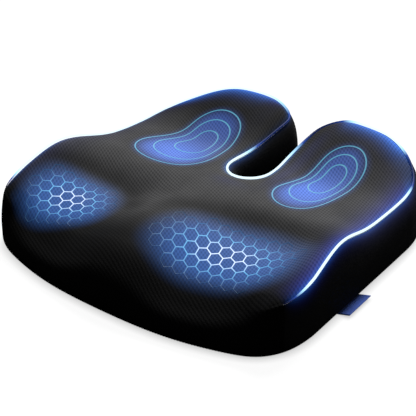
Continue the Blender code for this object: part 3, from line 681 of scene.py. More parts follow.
def shader_group(name, inputs, outputs):
    tree = bpy.data.node_groups.new(name, "ShaderNodeTree")
    for label, kind, value in inputs:
        socket = tree.interface.new_socket(label, in_out="INPUT", socket_type=kind)
        if value is not None:
            socket.default_value = value
    for label, kind in outputs:
        tree.interface.new_socket(label, in_out="OUTPUT", socket_type=kind)
    return tree, Shader(tree), tree.nodes.new("NodeGroupInput"), tree.nodes.new("NodeGroupOutput")


def rgba(*colour):
    return (*colour, 1.0)


# %% Group: knit
# Staggered eyes, as in an air mesh. Across and along are the distances between eyes in metres.
knit_group, g, come, go = shader_group(
    "knit",
    [("Across", "NodeSocketFloat", 0.004), ("Along", "NodeSocketFloat", 0.004),
     ("Eye", "NodeSocketFloat", 0.2)],
    [("Yarn", "NodeSocketFloat"), ("Height", "NodeSocketFloat")],
)
uv = g.add("ShaderNodeSeparateXYZ", in0=g.add("ShaderNodeUVMap", {"uv_map": "weave"}), output=None)
across = g.math("MULTIPLY", g.math("DIVIDE", uv.outputs[0], come.outputs["Across"]), 2 * math.pi)
along = g.math("MULTIPLY", g.math("DIVIDE", uv.outputs[1], come.outputs["Along"]), 2 * math.pi)
eyes = g.math("MULTIPLY", g.math("COSINE", across), g.math("COSINE", along))
thread = g.math("MULTIPLY", g.math("COSINE", g.math("MULTIPLY", g.math("ADD", across, along), 3.0)), 0.12)
raised = g.add("ShaderNodeMapRange", {"interpolation_type": "SMOOTHSTEP"}, Value=eyes,
               From_Min=g.math("SUBTRACT", come.outputs["Eye"], 1.0), From_Max=0.55)
g.tree.links.new(raised, go.inputs["Yarn"])
g.tree.links.new(g.math("ADD", raised, g.math("MULTIPLY", thread, 0.6)), go.inputs["Height"])

# %% Group: unevenness
uneven_group, g, come, go = shader_group(
    "unevenness", [("Scale", "NodeSocketFloat", 30.0), ("Strength", "NodeSocketFloat", 0.3)],
    [("Factor", "NodeSocketFloat"), ("Fuzz", "NodeSocketFloat")],
)
place = g.add("ShaderNodeTexCoord", None, 3)
broad = g.add("ShaderNodeTexNoise", Vector=place, Scale=come.outputs["Scale"], Detail=4.0)
finer = g.math("MULTIPLY", come.outputs["Scale"], 40.0)
fine_noise = g.add("ShaderNodeTexNoise", Vector=place, Scale=finer, Detail=2.0)
swing = g.math("MULTIPLY", g.math("SUBTRACT", broad, 0.5), g.math("MULTIPLY", come.outputs["Strength"], 2.0))
g.tree.links.new(g.math("ADD", swing, 1.0), go.inputs["Factor"])
g.tree.links.new(fine_noise, go.inputs["Fuzz"])


# %% [markdown]
# ## The finishes
# Cloth is near black with a faint sheen: the eyes of the knit are darker than its yarn. The blue fields
# and the halo beside the piping are painted glow, put in the cloth as its emission colour.

# %% Materials


def new_material(name):
    made = bpy.data.materials.new(name)
    made.use_nodes = True
    return made, Shader(made.node_tree), made.node_tree.nodes["Principled BSDF"]


def set_sockets(shader, **values):
    for key, value in values.items():
        shader.inputs[key.replace("_", " ")].default_value = value


def add_uneven(g, **values):
    return g.add("ShaderNodeGroup", {"node_tree": uneven_group}, None, **values)


def bump_from(g, shader, height, distance, strength=1.0):
    g.set(shader, "Normal", g.add("ShaderNodeBump", Height=height, Distance=distance, Strength=strength))


def cloth_material(name, yarn, eye, pitch, relief, sheen=0.2, glows=(), shaded=False, gloss=0.25):
    made, g, shader = new_material(name)
    weave = g.add("ShaderNodeGroup", {"node_tree": knit_group}, None, Across=pitch[0], Along=pitch[1])
    uneven = add_uneven(g)
    # Base colour: the random unevenness of dye, times the painted shade kept on the points where shaded is
    # set.
    tone_and_painted_shade = uneven.outputs["Factor"]
    if shaded:
        tone_and_painted_shade = g.math("MULTIPLY", tone_and_painted_shade, g.attribute("shade"))
    dyed = g.mix(weave.outputs["Yarn"], rgba(*eye), rgba(*yarn))
    g.set(shader, "Base Color", g.scaled(dyed, tone_and_painted_shade))
    g.set(shader, "Roughness", g.math("ADD", 0.62, g.math("MULTIPLY", uneven.outputs["Fuzz"], 0.3)))
    set_sockets(shader, Sheen_Weight=sheen, Sheen_Roughness=0.45, Specular_IOR_Level=gloss)
    height = g.math("ADD", weave.outputs["Height"], g.math("MULTIPLY", uneven.outputs["Fuzz"], 0.35))
    bump_from(g, shader, height, relief)
    light = None
    for attribute, colour in glows:
        through_knit = g.math("ADD", 0.72, g.math("MULTIPLY", weave.outputs["Yarn"], 0.38))
        shone = g.scaled(colour, g.math("MULTIPLY", g.attribute(attribute), through_knit))
        light = shone if light is None else g.summed(light, shone)
    if light is not None:
        g.set(shader, "Emission Color", light)
        set_sockets(shader, Emission_Strength=1.0)
    return made


# Painted glow colours: the blue fields on the knit, and the piping's painted glow on the knit beside it.
SEAT_BLUE, THIGH_BLUE = (0.085, 0.215, 0.83), (0.036, 0.110, 0.36)
mesh_knit = cloth_material(
    "black_mesh_knit", (0.074, 0.074, 0.075), (0.040, 0.040, 0.041), (0.0045, 0.0088), 0.00022, 0.0,
    [("seat_glow", SEAT_BLUE), ("thigh_glow", THIGH_BLUE), ("edge_glow", (0.016, 0.028, 0.27)),
     ("line_glow", (0.012, 0.110, 0.42))],
    shaded=True, gloss=0.06,
)
# Partly the bands' own denser black cloth and partly painted shade: its colour is far darker than the top
# knit's, so the walls look shaded. Its glows are the piping's painted glow.
band_cloth = cloth_material(
    "black_band_cloth", (0.0060, 0.0060, 0.0064), (0.0025, 0.0025, 0.0028), (0.0030, 0.0022), 0.00018, 0.02,
    [("edge_glow", (0.005, 0.009, 0.085)), ("line_glow", (0.006, 0.060, 0.28))], gloss=0.12,
)
base_cloth = cloth_material(
    "black_base_cloth", (0.020, 0.020, 0.022), (0.006, 0.006, 0.007), (0.0016, 0.0016), 0.00012
)
tape_cloth = cloth_material(
    "black_zip_tape", (0.014, 0.014, 0.015), (0.004, 0.004, 0.005), (0.0012, 0.0009), 0.0001
)


PRINT_BASE = (0.032, 0.032, 0.034)


def light_material(name, steps, strength, under=None, roughness=0.5):
    """A cord or print: its light, from 0 to 1, is looked up in a row of colours, over what glows under it."""
    made, g, shader = new_material(name)
    lookup = g.add("ShaderNodeValToRGB", None, None, Fac=g.attribute("light"))
    ramp = lookup.color_ramp
    ramp.elements[0].position, ramp.elements[0].color = steps[0][0], rgba(*steps[0][1])
    ramp.elements[1].position, ramp.elements[1].color = steps[-1][0], rgba(*steps[-1][1])
    for place, colour in steps[1:-1]:
        ramp.elements.new(place).color = rgba(*colour)
    shone = lookup.outputs[0]
    if under:
        attribute, colour = under
        shone = g.summed(shone, g.scaled(colour, g.attribute(attribute)))
    g.set(shader, "Emission Color", shone)
    uneven = add_uneven(g)
    # Base colour: the random unevenness of dye, times the shade attribute: painted shade on the prints, a
    # fixed darkening on the piping.
    tone_and_painted_shade = g.math("MULTIPLY", uneven.outputs["Factor"], g.attribute("shade"))
    g.set(shader, "Base Color", g.scaled(PRINT_BASE, tone_and_painted_shade))
    set_sockets(shader, Emission_Strength=strength, Roughness=roughness, Specular_IOR_Level=0.1)
    bump_from(g, shader, uneven.outputs["Fuzz"], 0.0001, 0.5)
    return made


piping_light = light_material(
    "lit_piping",
    [(0.0, (0.0, 0.0, 0.01)), (0.35, (0.02, 0.06, 0.30)),
     (0.75, (0.42, 0.76, 1.0)), (1.0, (0.74, 0.93, 1.0))],
    1.22,
)
honeycomb_light = light_material(
    "honeycomb_print",
    [(0.0, (0.0, 0.0, 0.0)), (0.35, (0.030, 0.110, 0.180)),
     (0.65, (0.10, 0.38, 0.52)), (0.95, (0.80, 0.92, 1.0))],
    1.0, ("thigh_glow", THIGH_BLUE),
)
contour_light = light_material(
    "contour_print", [(0.0, (0.0, 0.0, 0.0)), (0.5, (0.060, 0.250, 0.330)), (1.0, (0.105, 0.390, 0.610))],
    1.0, ("seat_glow", (0.03, 0.07, 0.15)),
)


def solid_material(name, colour, roughness, relief=0.0001, scale=60.0, strength=0.2, **sockets):
    made, g, shader = new_material(name)
    uneven = add_uneven(g, Scale=scale, Strength=strength)
    g.set(shader, "Base Color", g.scaled(colour, uneven.outputs["Factor"]))
    rougher = g.math("MULTIPLY", uneven.outputs["Fuzz"], 0.12)
    g.set(shader, "Roughness", g.math("ADD", roughness - 0.06, rougher))
    set_sockets(shader, **sockets)
    bump_from(g, shader, uneven.outputs["Fuzz"], relief)
    return made


nylon = solid_material("black_nylon", (0.045, 0.046, 0.050), 0.38, 0.00003)
zip_metal = solid_material("dark_nickel", (0.20, 0.20, 0.21), 0.30, 0.00002, 200.0, 0.35, Metallic=1.0)
thread_black = solid_material("black_thread", (0.030, 0.030, 0.034), 0.75, 0.00005)
grip_rubber = solid_material("grip_rubber", (0.012, 0.012, 0.014), 0.45, 0.00004)
foam_skin = solid_material("memory_foam", (0.34, 0.35, 0.38), 0.92, 0.0004, 90.0, 0.12)
blue_gel = solid_material("blue_gel", (0.03, 0.13, 0.62), 0.22, 0.00002, 25.0, 0.25, Coat_Weight=0.4)
label_cloth = cloth_material(
    "blue_label", (0.060, 0.150, 0.640), (0.035, 0.100, 0.480), (0.0011, 0.0007), 0.00010, 0.3
)

# %% [markdown]
# ## The top cover
# One piece of knit makes the seat and, with no seam between, the front wall. It is unrolled over the front
# edge for its UV map, so the knit runs down the front without a jump, as it does on the real cover.

# %% Top cover
HALO_WIDTH, LINE_REACH, REAR_REACH = 0.0150, 0.0040, 0.0100
KNIT_BIAS = math.radians(38.0)


def at_rear(points):
    """1 where the cover rolls over the rear edge of a lobe, and 0 in the slot and along the sides."""
    return smooth((points[:, 1] - 0.125) / 0.045) * smooth((np.abs(points[:, 0]) - 0.040) / 0.030)


def haloed(points):
    """The wide halo runs along the right side and round the rear, but not in the slot or on the left."""
    x, y = points[:, 0], points[:, 1]
    in_slot = smooth((0.055 - np.abs(x)) / 0.020) * smooth((y - 0.010) / 0.02)
    on_left = smooth(-x / 0.03) * smooth((0.175 - y) / 0.05)
    return (1.0 - in_slot) * (1.0 - 0.85 * on_left)


top_points = settle(top_points)
from_line = distance_to(RIM_LOOP, top_points)
lit_here = line_light(top_points) * sewn_share(top_points[:, 0], top_points[:, 1])
rear = at_rear(top_points)
top_uv = top_uv @ np.array([
    [math.cos(KNIT_BIAS), -math.sin(KNIT_BIAS)], [math.sin(KNIT_BIAS), math.cos(KNIT_BIAS)]
])
top_cover = new_object(
    "top_cover", top_points, top_faces, mesh_knit, top_uv,
    seat_glow=seat_glow(top_points), thigh_glow=thigh_glow(top_points),
    edge_glow=np.exp(-((from_line / HALO_WIDTH) ** 1.4)) * lit_here * haloed(top_points),
    line_glow=(1.0 + rear) * np.exp(-((from_line / (LINE_REACH + REAR_REACH * rear)) ** 1.6)) * lit_here,
    # Painted shade: the knit's colour is darkened down the front, at the rear, along the sides and round the
    # thigh fields.
    shade=painted_knit_shade(top_points),
)
thicken(top_cover, COVER_T)
print(f"the top cover has {len(top_faces)} faces")

# %% [markdown]
# ## The walls
# Three bands of a denser black cloth, darkened further with painted shade: one down each side and one inside
# the slot at the tailbone. The left one has a straight opening for the zip, so its rows are moved to the
# opening's edges before the faces between them are left out.

# %% Walls
ZIP_Z, ZIP_FRONT_Y, ZIP_BACK_Y, WINDOW_HALF = 0.0235, -0.096, 0.106, 0.0045


def make_wall(name, zone, window=False):
    points, down, _ = wall(columns[zone], NEAR_ROWS, WALL_ROWS)
    count, rows = points.shape[:2]
    faces = grid_faces(count, rows)
    if window:
        y = points[:, 0, 1]
        first, last = (int(np.argmin(np.abs(y - edge))) for edge in (ZIP_BACK_Y, ZIP_FRONT_Y))
        for column, edge in ((first, ZIP_BACK_Y), (last, ZIP_FRONT_Y)):
            at_edge = edge_at(nearest_along((-side_x(edge), edge)))
            points[column, :, :2] += at_edge - edge_at(columns[zone][column])
        open_rows = []
        for edge in (ZIP_Z + WINDOW_HALF, ZIP_Z - WINDOW_HALF):
            row = int(np.argmin(np.abs(points[(first + last) // 2, :, 2] - edge)))
            moved = points[first:last + 1, row, 2] - edge
            points[first:last + 1, row, 2] = edge
            down[first:last + 1, row] += moved
            open_rows.append(row)
        faces = [
            face for face in faces
            if not (first <= face[0] // rows < last and open_rows[0] <= face[0] % rows < open_rows[1])
        ]
    settled = settle(points.reshape(-1, 3))
    lit = line_light(points[:, 0])[:, None] * np.ones_like(down)
    uv = np.stack([np.broadcast_to(columns[zone][:, None], down.shape), down], axis=-1).reshape(-1, 2)
    # Painted glow: the piping's light on the band below the seam.
    glow = {"line_glow": lit * np.exp(-((down / 0.0036) ** 1.3))}
    if zone != SLOT:
        glow["edge_glow"] = lit * np.exp(-((down / 0.0075) ** 1.2))
    glow = {key: value.ravel() for key, value in glow.items()}
    made = new_object(name, settled, faces, band_cloth, uv, **glow)
    thicken(made, COVER_T)
    return made


side_wall_right = make_wall("side_wall_right", RIGHT)
slot_wall = make_wall("slot_wall", SLOT)
side_wall_left = make_wall("side_wall_left", LEFT, window=True)

# %% [markdown]
# ## The piping
# A round cord in the seam between the top and the bands, from one front corner round to the other. Its light
# is an attribute too, so that it fades at its ends as it does on the real one.

# %% Piping
PIPING_SIDES, CORD_R, PROUD = 12, 0.00155, 0.0013
TAPER_LENGTH, END_SHARE = 0.045, 0.35


def directions(line):
    ahead = np.gradient(line, axis=0)
    return ahead / np.linalg.norm(ahead, axis=1)[:, None]


def tube(line, ahead, side, radius, sides):
    """Rings of points round a line, with flat ends. The given side is square to the line at each ring."""
    over = np.cross(side, ahead)
    angles = np.arange(sides) * 2 * math.pi / sides
    rings = line[:, None] + radius * (
        np.cos(angles)[None, :, None] * side[:, None] + np.sin(angles)[None, :, None] * over[:, None]
    )
    faces = [
        (i * sides + k, i * sides + (k + 1) % sides, (i + 1) * sides + (k + 1) % sides, (i + 1) * sides + k)
        for i in range(len(line) - 1) for k in range(sides)
    ]
    end = (len(line) - 1) * sides
    return rings.reshape(-1, 3), faces + [tuple(range(sides - 1, -1, -1)), tuple(range(end, end + sides))]


def face_outwards(piece, merge=0.0):
    worked = bmesh.new()
    worked.from_mesh(piece.data)
    if merge:
        bmesh.ops.remove_doubles(worked, verts=worked.verts[:], dist=merge)
    bmesh.ops.recalc_face_normals(worked, faces=worked.faces[:])
    worked.to_mesh(piece.data)
    worked.free()


piping_along = np.concatenate([columns[RIGHT], columns[SLOT][1:-1], columns[LEFT]])
piping_along[0] += 2 * GAP
piping_along[-1] -= 2 * GAP
piping_rim = rim_at(piping_along)
piping_length = np.arange(len(piping_rim)) * COLUMN_STEP
from_end = np.minimum(piping_length, piping_length[::-1])
tapered = END_SHARE + (1.0 - END_SHARE) * smooth(from_end / TAPER_LENGTH)
rim_z = top_height(piping_rim[:, 0], piping_rim[:, 1], np.zeros(len(piping_rim)))
piping_line = np.column_stack([piping_rim, rim_z + PROUD * (1.6 * tapered - 0.6)])
way = directions(piping_line)
across = np.cross(way, (0.0, 0.0, 1.0))
across /= np.linalg.norm(across, axis=1)[:, None]
piping_points, piping_faces = tube(piping_line, way, across, CORD_R * tapered[:, None, None], PIPING_SIDES)
piping = new_object(
    "lit_edge_piping", piping_points, piping_faces, piping_light,
    light=np.repeat(line_light(piping_line), PIPING_SIDES), shade=np.full(len(piping_points), 0.15),
)
face_outwards(piping)
print(f"the piping is {np.linalg.norm(np.diff(piping_line, axis=0), axis=1).sum():.2f} m long")

# %% [markdown]
# ## Geometry Nodes helpers
# Prints, stitches, coil turns and grip dots repeat, so trees of nodes make them. Every tree is written out
# here, takes its sizes as named inputs and ends in Realize Instances and Set Material. `run_tree` sets the
# inputs, takes the result as a plain mesh and throws the modifier away.

# %% Node tree helpers


class Nodes(Shader):
    def add(self, kind, settings=None, output=0, **inputs):
        whole = kind.startswith(("Shader", "Function"))
        return super().add(kind if whole else "GeometryNode" + kind, settings, output, **inputs)


def geometry_tree(name, inputs):
    tree = bpy.data.node_groups.new(name, "GeometryNodeTree")
    tree.interface.new_socket("Geometry", in_out="INPUT", socket_type="NodeSocketGeometry")
    tree.interface.new_socket("Geometry", in_out="OUTPUT", socket_type="NodeSocketGeometry")
    for label, kind in inputs:
        tree.interface.new_socket(label, in_out="INPUT", socket_type="NodeSocket" + kind)
    return Nodes(tree), tree.nodes.new("NodeGroupInput"), tree.nodes.new("NodeGroupOutput")


def finish_tree(g, come, go, geometry):
    realized = g.add("RealizeInstances", Geometry=geometry)
    g.tree.links.new(g.add("SetMaterial", Geometry=realized, Material=come.outputs["Material"]), go.inputs[0])


def run_tree(name, source, tree, material, **values):
    modifier = source.modifiers.new("tree", "NODES")
    modifier.node_group = tree
    for item in tree.interface.items_tree:
        if item.in_out == "INPUT" and item.name in values:
            modifier[item.identifier] = values[item.name]
        if item.in_out == "INPUT" and item.name == "Material":
            modifier[item.identifier] = material
    bpy.context.view_layer.update()
    graph = bpy.context.evaluated_depsgraph_get()
    mesh = bpy.data.meshes.new_from_object(source.evaluated_get(graph), depsgraph=graph)
    bpy.data.objects.remove(source)
    mesh.name = name
    if not mesh.materials:
        mesh.materials.append(material)
    mesh.shade_smooth()
    print(f"{name} has {len(mesh.polygons)} faces")
    return link_object(name, mesh)


def path_object(name, points, edges):
    mesh = bpy.data.meshes.new(name)
    mesh.from_pydata(np.asarray(points, float).tolist(), edges, [])
    return link_object(name, mesh)


def mesh_points(piece):
    found = np.empty(len(piece.data.vertices) * 3, np.float32)
    piece.data.vertices.foreach_get("co", found)
    return found.reshape(-1, 3)


# %% [markdown]
# ## Tree: a print laid on the cover
# A print is drawn flat in plan, where a point's height says how far it stands above the cloth. The tree then
# drops each point on the cover with Raycast. Drawn as instances of one cell, it gives a honeycomb.

# %% Tree: cells laid on the cover
cells, come, go = geometry_tree("cells_on_cover", [
    ("Cell", "Object"), ("Cover", "Object"), ("Drop", "Float"), ("Material", "Material"),
])
one_cell = cells.add("ObjectInfo", None, None, Object=come.outputs["Cell"])
placed = cells.add("InstanceOnPoints", Points=come.outputs["Geometry"], Instance=one_cell.outputs["Geometry"])
flat_print = cells.add("RealizeInstances", Geometry=placed)


def drop_on_cover(g, come, flat):
    """Lays flat geometry on the cover: each point keeps its own height above it."""
    cover = g.add("ObjectInfo", None, None, Object=come.outputs["Cover"])
    split = g.add("ShaderNodeSeparateXYZ", None, None, in0=g.add("InputPosition"))
    above = g.add("ShaderNodeCombineXYZ", X=split.outputs[0], Y=split.outputs[1], Z=come.outputs["Drop"])
    cast = g.add("Raycast", None, None, Target_Geometry=cover.outputs["Geometry"], Source_Position=above,
                 Ray_Direction=(0.0, 0.0, -1.0))
    raised = g.scaled(cast.outputs["Hit Normal"], split.outputs[2])
    return g.add("SetPosition", Geometry=flat, Position=g.summed(cast.outputs["Hit Position"], raised))


finish_tree(cells, come, go, drop_on_cover(cells, come, flat_print))

# %% [markdown]
# ## The honeycomb prints
# The cells are hexagons, a little sheared as the cloth is pulled over the thigh hollows. One cell is a thin
# six-sided frame, half a line wide, so neighbours make whole lines. The line fades towards the field's edge.

# %% Honeycomb
# One cell's centre, and the steps to its neighbours in two directions.
CELLS = {
    "left": ((-0.157, -0.103), np.array([0.0146, 0.0036]), np.array([-0.0106, 0.0132])),
    "right": ((0.076, -0.101), np.array([0.0160, 0.0020]), np.array([-0.0135, 0.0165])),
}
LINE_WIDTH, PRINT_RISE, PRINT_SINK, LIFT = 0.0015, 0.00022, 0.00006, 0.00020
DROP_FROM = 0.3
CELL_REACH = 9


def hexagon_frame(name, step_u, step_v, per_side=4):
    corners = [(2 * step_u + step_v) / 3, (step_u + 2 * step_v) / 3, (step_v - step_u) / 3]
    corners += [-corner for corner in corners]
    outer, inner = [], []
    inset = 1.0 - LINE_WIDTH / (2 * np.linalg.norm(corners[0]))
    for k, corner in enumerate(corners):
        following = corners[(k + 1) % 6]
        for t in np.linspace(0.0, 1.0, per_side, endpoint=False):
            outer.append(corner + t * (following - corner))
            inner.append(inset * outer[-1])
    n = len(outer)
    points = [(*p, LIFT + PRINT_RISE) for p in outer] + [(*p, LIFT - PRINT_SINK) for p in inner]
    return new_object(name, points, [(i, (i + 1) % n, (i + 1) % n + n, i + n) for i in range(n)])


honeycombs = []
reach = range(-CELL_REACH, CELL_REACH + 1)
steps = np.array([(i, j) for i in reach for j in reach])
for side, field in THIGH_FIELDS.items():
    first_cell, step_u, step_v = CELLS[side]
    cell_frame = hexagon_frame("one_cell", step_u, step_v)
    centres = np.array(first_cell) + steps @ np.array([step_u, step_v])
    centres = centres[(field_radius(field, centres) < 0.93) & inside(RIM_LOOP, centres)]
    dots = new_object(f"cell_centres_{side}", np.column_stack([centres, np.zeros(len(centres))]), [])
    comb = run_tree(f"honeycomb_print_{side}", dots, cells.tree, honeycomb_light,
                    Cell=cell_frame, Cover=top_cover, Drop=DROP_FROM)
    face_outwards(comb, 1e-5)
    at = mesh_points(comb)
    light = np.clip((1.03 - field_radius(field, at)) / 0.84, 0.12, 1.0)
    # The print takes the knit's painted shade at its points.
    add_values(comb.data, light=light, thigh_glow=thigh_glow(at), shade=painted_knit_shade(at))
    honeycombs.append(comb)
    bpy.data.objects.remove(cell_frame)

# %% [markdown]
# ## The contour prints
# Three nested lines over each sit bone. A line is a path, so its tree sweeps a low profile along a curve and
# then lays it on the cover with the same nodes as the honeycomb.

# %% Tree: a line laid on the cover
lines, come, go = geometry_tree("line_on_cover", [
    ("Cover", "Object"), ("Drop", "Float"), ("Width", "Float"), ("Rise", "Float"), ("Sink", "Float"),
    ("Material", "Material"),
])
path = lines.add("MeshToCurve", Mesh=come.outputs["Geometry"])
upright = lines.add("SetCurveNormal", {"mode": "Z_UP"}, Curve=path)
half = lines.math("MULTIPLY", come.outputs["Width"], 0.5)
sunk = lines.math("MULTIPLY", come.outputs["Sink"], -1.0)
left_end = lines.add("ShaderNodeCombineXYZ", X=lines.math("MULTIPLY", half, -1.0), Y=sunk)
right_end = lines.add("ShaderNodeCombineXYZ", X=half, Y=sunk)
summit = lines.add("ShaderNodeCombineXYZ", X=0.0, Y=lines.math("MULTIPLY", come.outputs["Rise"], 2.0))
profile = lines.add("CurveQuadraticBezier", Resolution=4, Start=left_end, Middle=summit, End=right_end)
swept = lines.add("CurveToMesh", Curve=upright, Profile_Curve=profile)
finish_tree(lines, come, go, drop_on_cover(lines, come, swept))

# %% Contours
CONTOUR_WIDTH = 0.0018
contours = []
for side in CONTOURS:
    loops, edges = [], []
    for scale in CONTOUR_SCALES:
        loop = contour(side, scale)
        start = len(edges)
        edges += [(start + i, start + (i + 1) % len(loop)) for i in range(len(loop))]
        loops.append(loop)
    flat = np.vstack(loops)
    paths = path_object(f"contour_paths_{side}", np.column_stack([flat, np.full(len(flat), LIFT)]), edges)
    line = run_tree(f"contour_print_{side}", paths, lines.tree, contour_light,
                    Cover=top_cover, Drop=DROP_FROM, Width=CONTOUR_WIDTH, Rise=PRINT_RISE, Sink=PRINT_SINK)
    at = mesh_points(line)
    middle = CONTOURS[side][0][1]
    light = 0.70 + 0.30 * smooth((middle + 0.02 - at[:, 1]) / 0.08)
    # The print takes the knit's painted shade at its points.
    add_values(line.data, light=light, seat_glow=seat_glow(at), shade=painted_knit_shade(at))
    contours.append(line)

# %% [markdown]
# ## The underside
# A flat sheet of plain cloth, with small rubber dots that stop the cushion from sliding. The dots stand on
# the floor and the cloth hangs just above it. They repeat on a staggered grid, so a tree places them.

# %% Bottom cloth
BOTTOM_Z, BOTTOM_T = 0.0016, 0.0010
bottom_ring = edge_at(everywhere) + (BASE_INSET + GAP) * inward_at(everywhere)
bottom_xy, faces, _ = fill(bottom_ring, len(bottom_ring))
bottom_cloth = new_object(
    "bottom_cloth", np.column_stack([bottom_xy, np.full(len(bottom_xy), BOTTOM_Z)]),
    [tuple(face) for face in faces], base_cloth, bottom_xy,
)
thicken(bottom_cloth, BOTTOM_T)

# %% Tree: dots on points
dot_tree, come, go = geometry_tree("dots_on_points", [
    ("Dot radius", "Float"), ("Dot height", "Float"), ("Material", "Material"),
])
dome = dot_tree.add("MeshUVSphere", Segments=8, Rings=4, Radius=1.0)
wide, high = come.outputs["Dot radius"], come.outputs["Dot height"]
size = dot_tree.add("ShaderNodeCombineXYZ", X=wide, Y=wide, Z=high)
dots = dot_tree.add("InstanceOnPoints", Points=come.outputs["Geometry"], Instance=dome, Scale=size)
finish_tree(dot_tree, come, go, dots)

# %% Grip dots
DOT_PITCH, DOT_R, DOT_H, DOT_MARGIN = 0.0130, 0.0022, 0.0006, 0.010
rows_of_dots = np.array([
    (DOT_PITCH * (i + 0.5 * (j % 2)), DOT_PITCH * 0.87 * j) for i in range(-18, 19) for j in range(-20, 21)
])
bottom_loop = bottom_ring[::2]
keep = inside(bottom_loop, rows_of_dots) & (distance_to(bottom_loop, rows_of_dots) > DOT_MARGIN)
rows_of_dots = rows_of_dots[keep]
dot_places = new_object("dot_places", np.column_stack([rows_of_dots, np.full(len(rows_of_dots), DOT_H)]), [])
grip_dots = run_tree("grip_dots", dot_places, dot_tree.tree, grip_rubber,
                     **{"Dot radius": DOT_R, "Dot height": DOT_H})

# %% [markdown]
# ## Foam and gel
# They lie inside the closed cover. Copies of their solids are welded and given the look of moulded memory
# foam and soft gel. The gel's edges are rounded, because cast gel has no sharp ones.

# %% Foam and gel


def finer_copy(name, node, material, bevel=0.0):
    made = link_object(name, bpy.data.objects[node].data.copy())
    made.data.name = name
    made.data.materials.clear()
    made.data.materials.append(material)
    face_outwards(made, 1e-6)
    made.data.shade_smooth()
    if bevel:
        soft_edge = made.modifiers.new("soft edge", "BEVEL")
        soft_edge.width = bevel
        soft_edge.segments = 2
        soft_edge.limit_method = "ANGLE"
        soft_edge.angle_limit = math.radians(50)
    return made


foam_block = finer_copy("foam_block", "foam_core", foam_skin)
gels = {node: finer_copy(node + "_pad", node, blue_gel, 0.0005)
        for node in ("thigh_gel_left", "thigh_gel_right", "seat_gel_left", "seat_gel_right")}

# %% [markdown]
# ## The zip
# A coil zip lies in the opening of the left wall. Its frame has x along the wall towards the front, y up and
# z straight out. The tapes are woven strips, and each side's coil is one nylon wire bent in small turns that
# hook into the other side's. A tree repeats the turn along the tape.

# %% Zip tapes
ZIP_MIDDLE = 0.5 * (ZIP_FRONT_Y + ZIP_BACK_Y)
zip_run = np.array([SIDE_TAPER, STRAIGHT_TO_Y - STRAIGHT_FROM_Y, 0.0])
zip_run /= np.linalg.norm(zip_run)
zip_x, zip_y, zip_out = -zip_run, np.array([0.0, 0.0, 1.0]), np.array([-zip_run[1], zip_run[0], 0.0])
zip_origin = np.array([-side_x(ZIP_MIDDLE), ZIP_MIDDLE, ZIP_Z])
ZIP_HALF, TAPE_END, TAPE_LOW, TAPE_TOP, COIL_HALF = 0.10114, 0.10900, -0.0024, -0.0018, 0.09754


def zip_place(points):
    points = np.atleast_2d(np.asarray(points, float))
    return zip_origin + points[:, :1] * zip_x + points[:, 1:2] * zip_y + points[:, 2:] * zip_out


def zip_tape(name, side):
    xs, ys = np.linspace(-TAPE_END, TAPE_END, 90), np.linspace(0.0007, 0.0087, 6)
    flat = np.array([(x, side * y, TAPE_TOP - 0.00008 * (k % 2)) for x in xs for k, y in enumerate(ys)])
    made = new_object(name, zip_place(flat), grid_faces(len(xs), len(ys)), tape_cloth, flat[:, :2])
    thicken(made, TAPE_TOP - TAPE_LOW)
    if side < 0:
        made.data.flip_normals()
    return made


tapes = {side: zip_tape(f"zip_tape_{name}", side) for side, name in ((1, "upper"), (-1, "lower"))}

# %% Tree: turns along a tape
turn_tree, come, go = geometry_tree("turns_on_points", [("Turn", "Object"), ("Material", "Material")])
one_turn = turn_tree.add("ObjectInfo", None, None, Object=come.outputs["Turn"])
turned = turn_tree.add("InstanceOnPoints", Points=come.outputs["Geometry"],
                       Instance=one_turn.outputs["Geometry"])
finish_tree(turn_tree, come, go, turned)

# %% Coils
COIL_PITCH, WIRE = 0.0014, 0.00040


def bent_wire(name, line, radius, flat_across, sides):
    """A round wire along an open line that lies in the plane square to flat_across."""
    line = np.asarray(line, float)
    side = np.tile(flat_across, (len(line), 1))
    made = new_object(name, *tube(line, directions(line), side, radius, sides))
    face_outwards(made)
    return made


def coil(name, side):
    low, high = -0.0014 + WIRE / 2, 0.0002 - WIRE / 2
    turn_line = [(0.0, 0.0029 * side, low), (0.0, 0.0022 * side, high), (0.0, 0.0008 * side, high),
                 (0.0, 0.0003 * side, 0.5 * (low + high)), (0.0, 0.0008 * side, low),
                 (0.0, 0.0026 * side, low)]
    turn = bent_wire("one_turn", zip_place(turn_line) - zip_origin, WIRE, zip_x, 5)
    shift = 0.25 * COIL_PITCH * side
    stations = np.arange(-COIL_HALF + COIL_PITCH, COIL_HALF - COIL_PITCH, COIL_PITCH) + shift
    places = new_object("turn_places", zip_place([(x, 0.0, 0.0) for x in stations]), [])
    made = run_tree(name, places, turn_tree.tree, nylon, Turn=turn)
    bpy.data.objects.remove(turn)
    return made


coils = {side: coil(f"zip_coil_{name}", side) for side, name in ((1, "upper"), (-1, "lower"))}

# %% [markdown]
# ## Stitches
# Two seams show as a row of short raised threads: round the zip's opening, and all round just above the base
# seam. One stitch is a small bead, turned to follow its line, and a tree lays it at even steps.

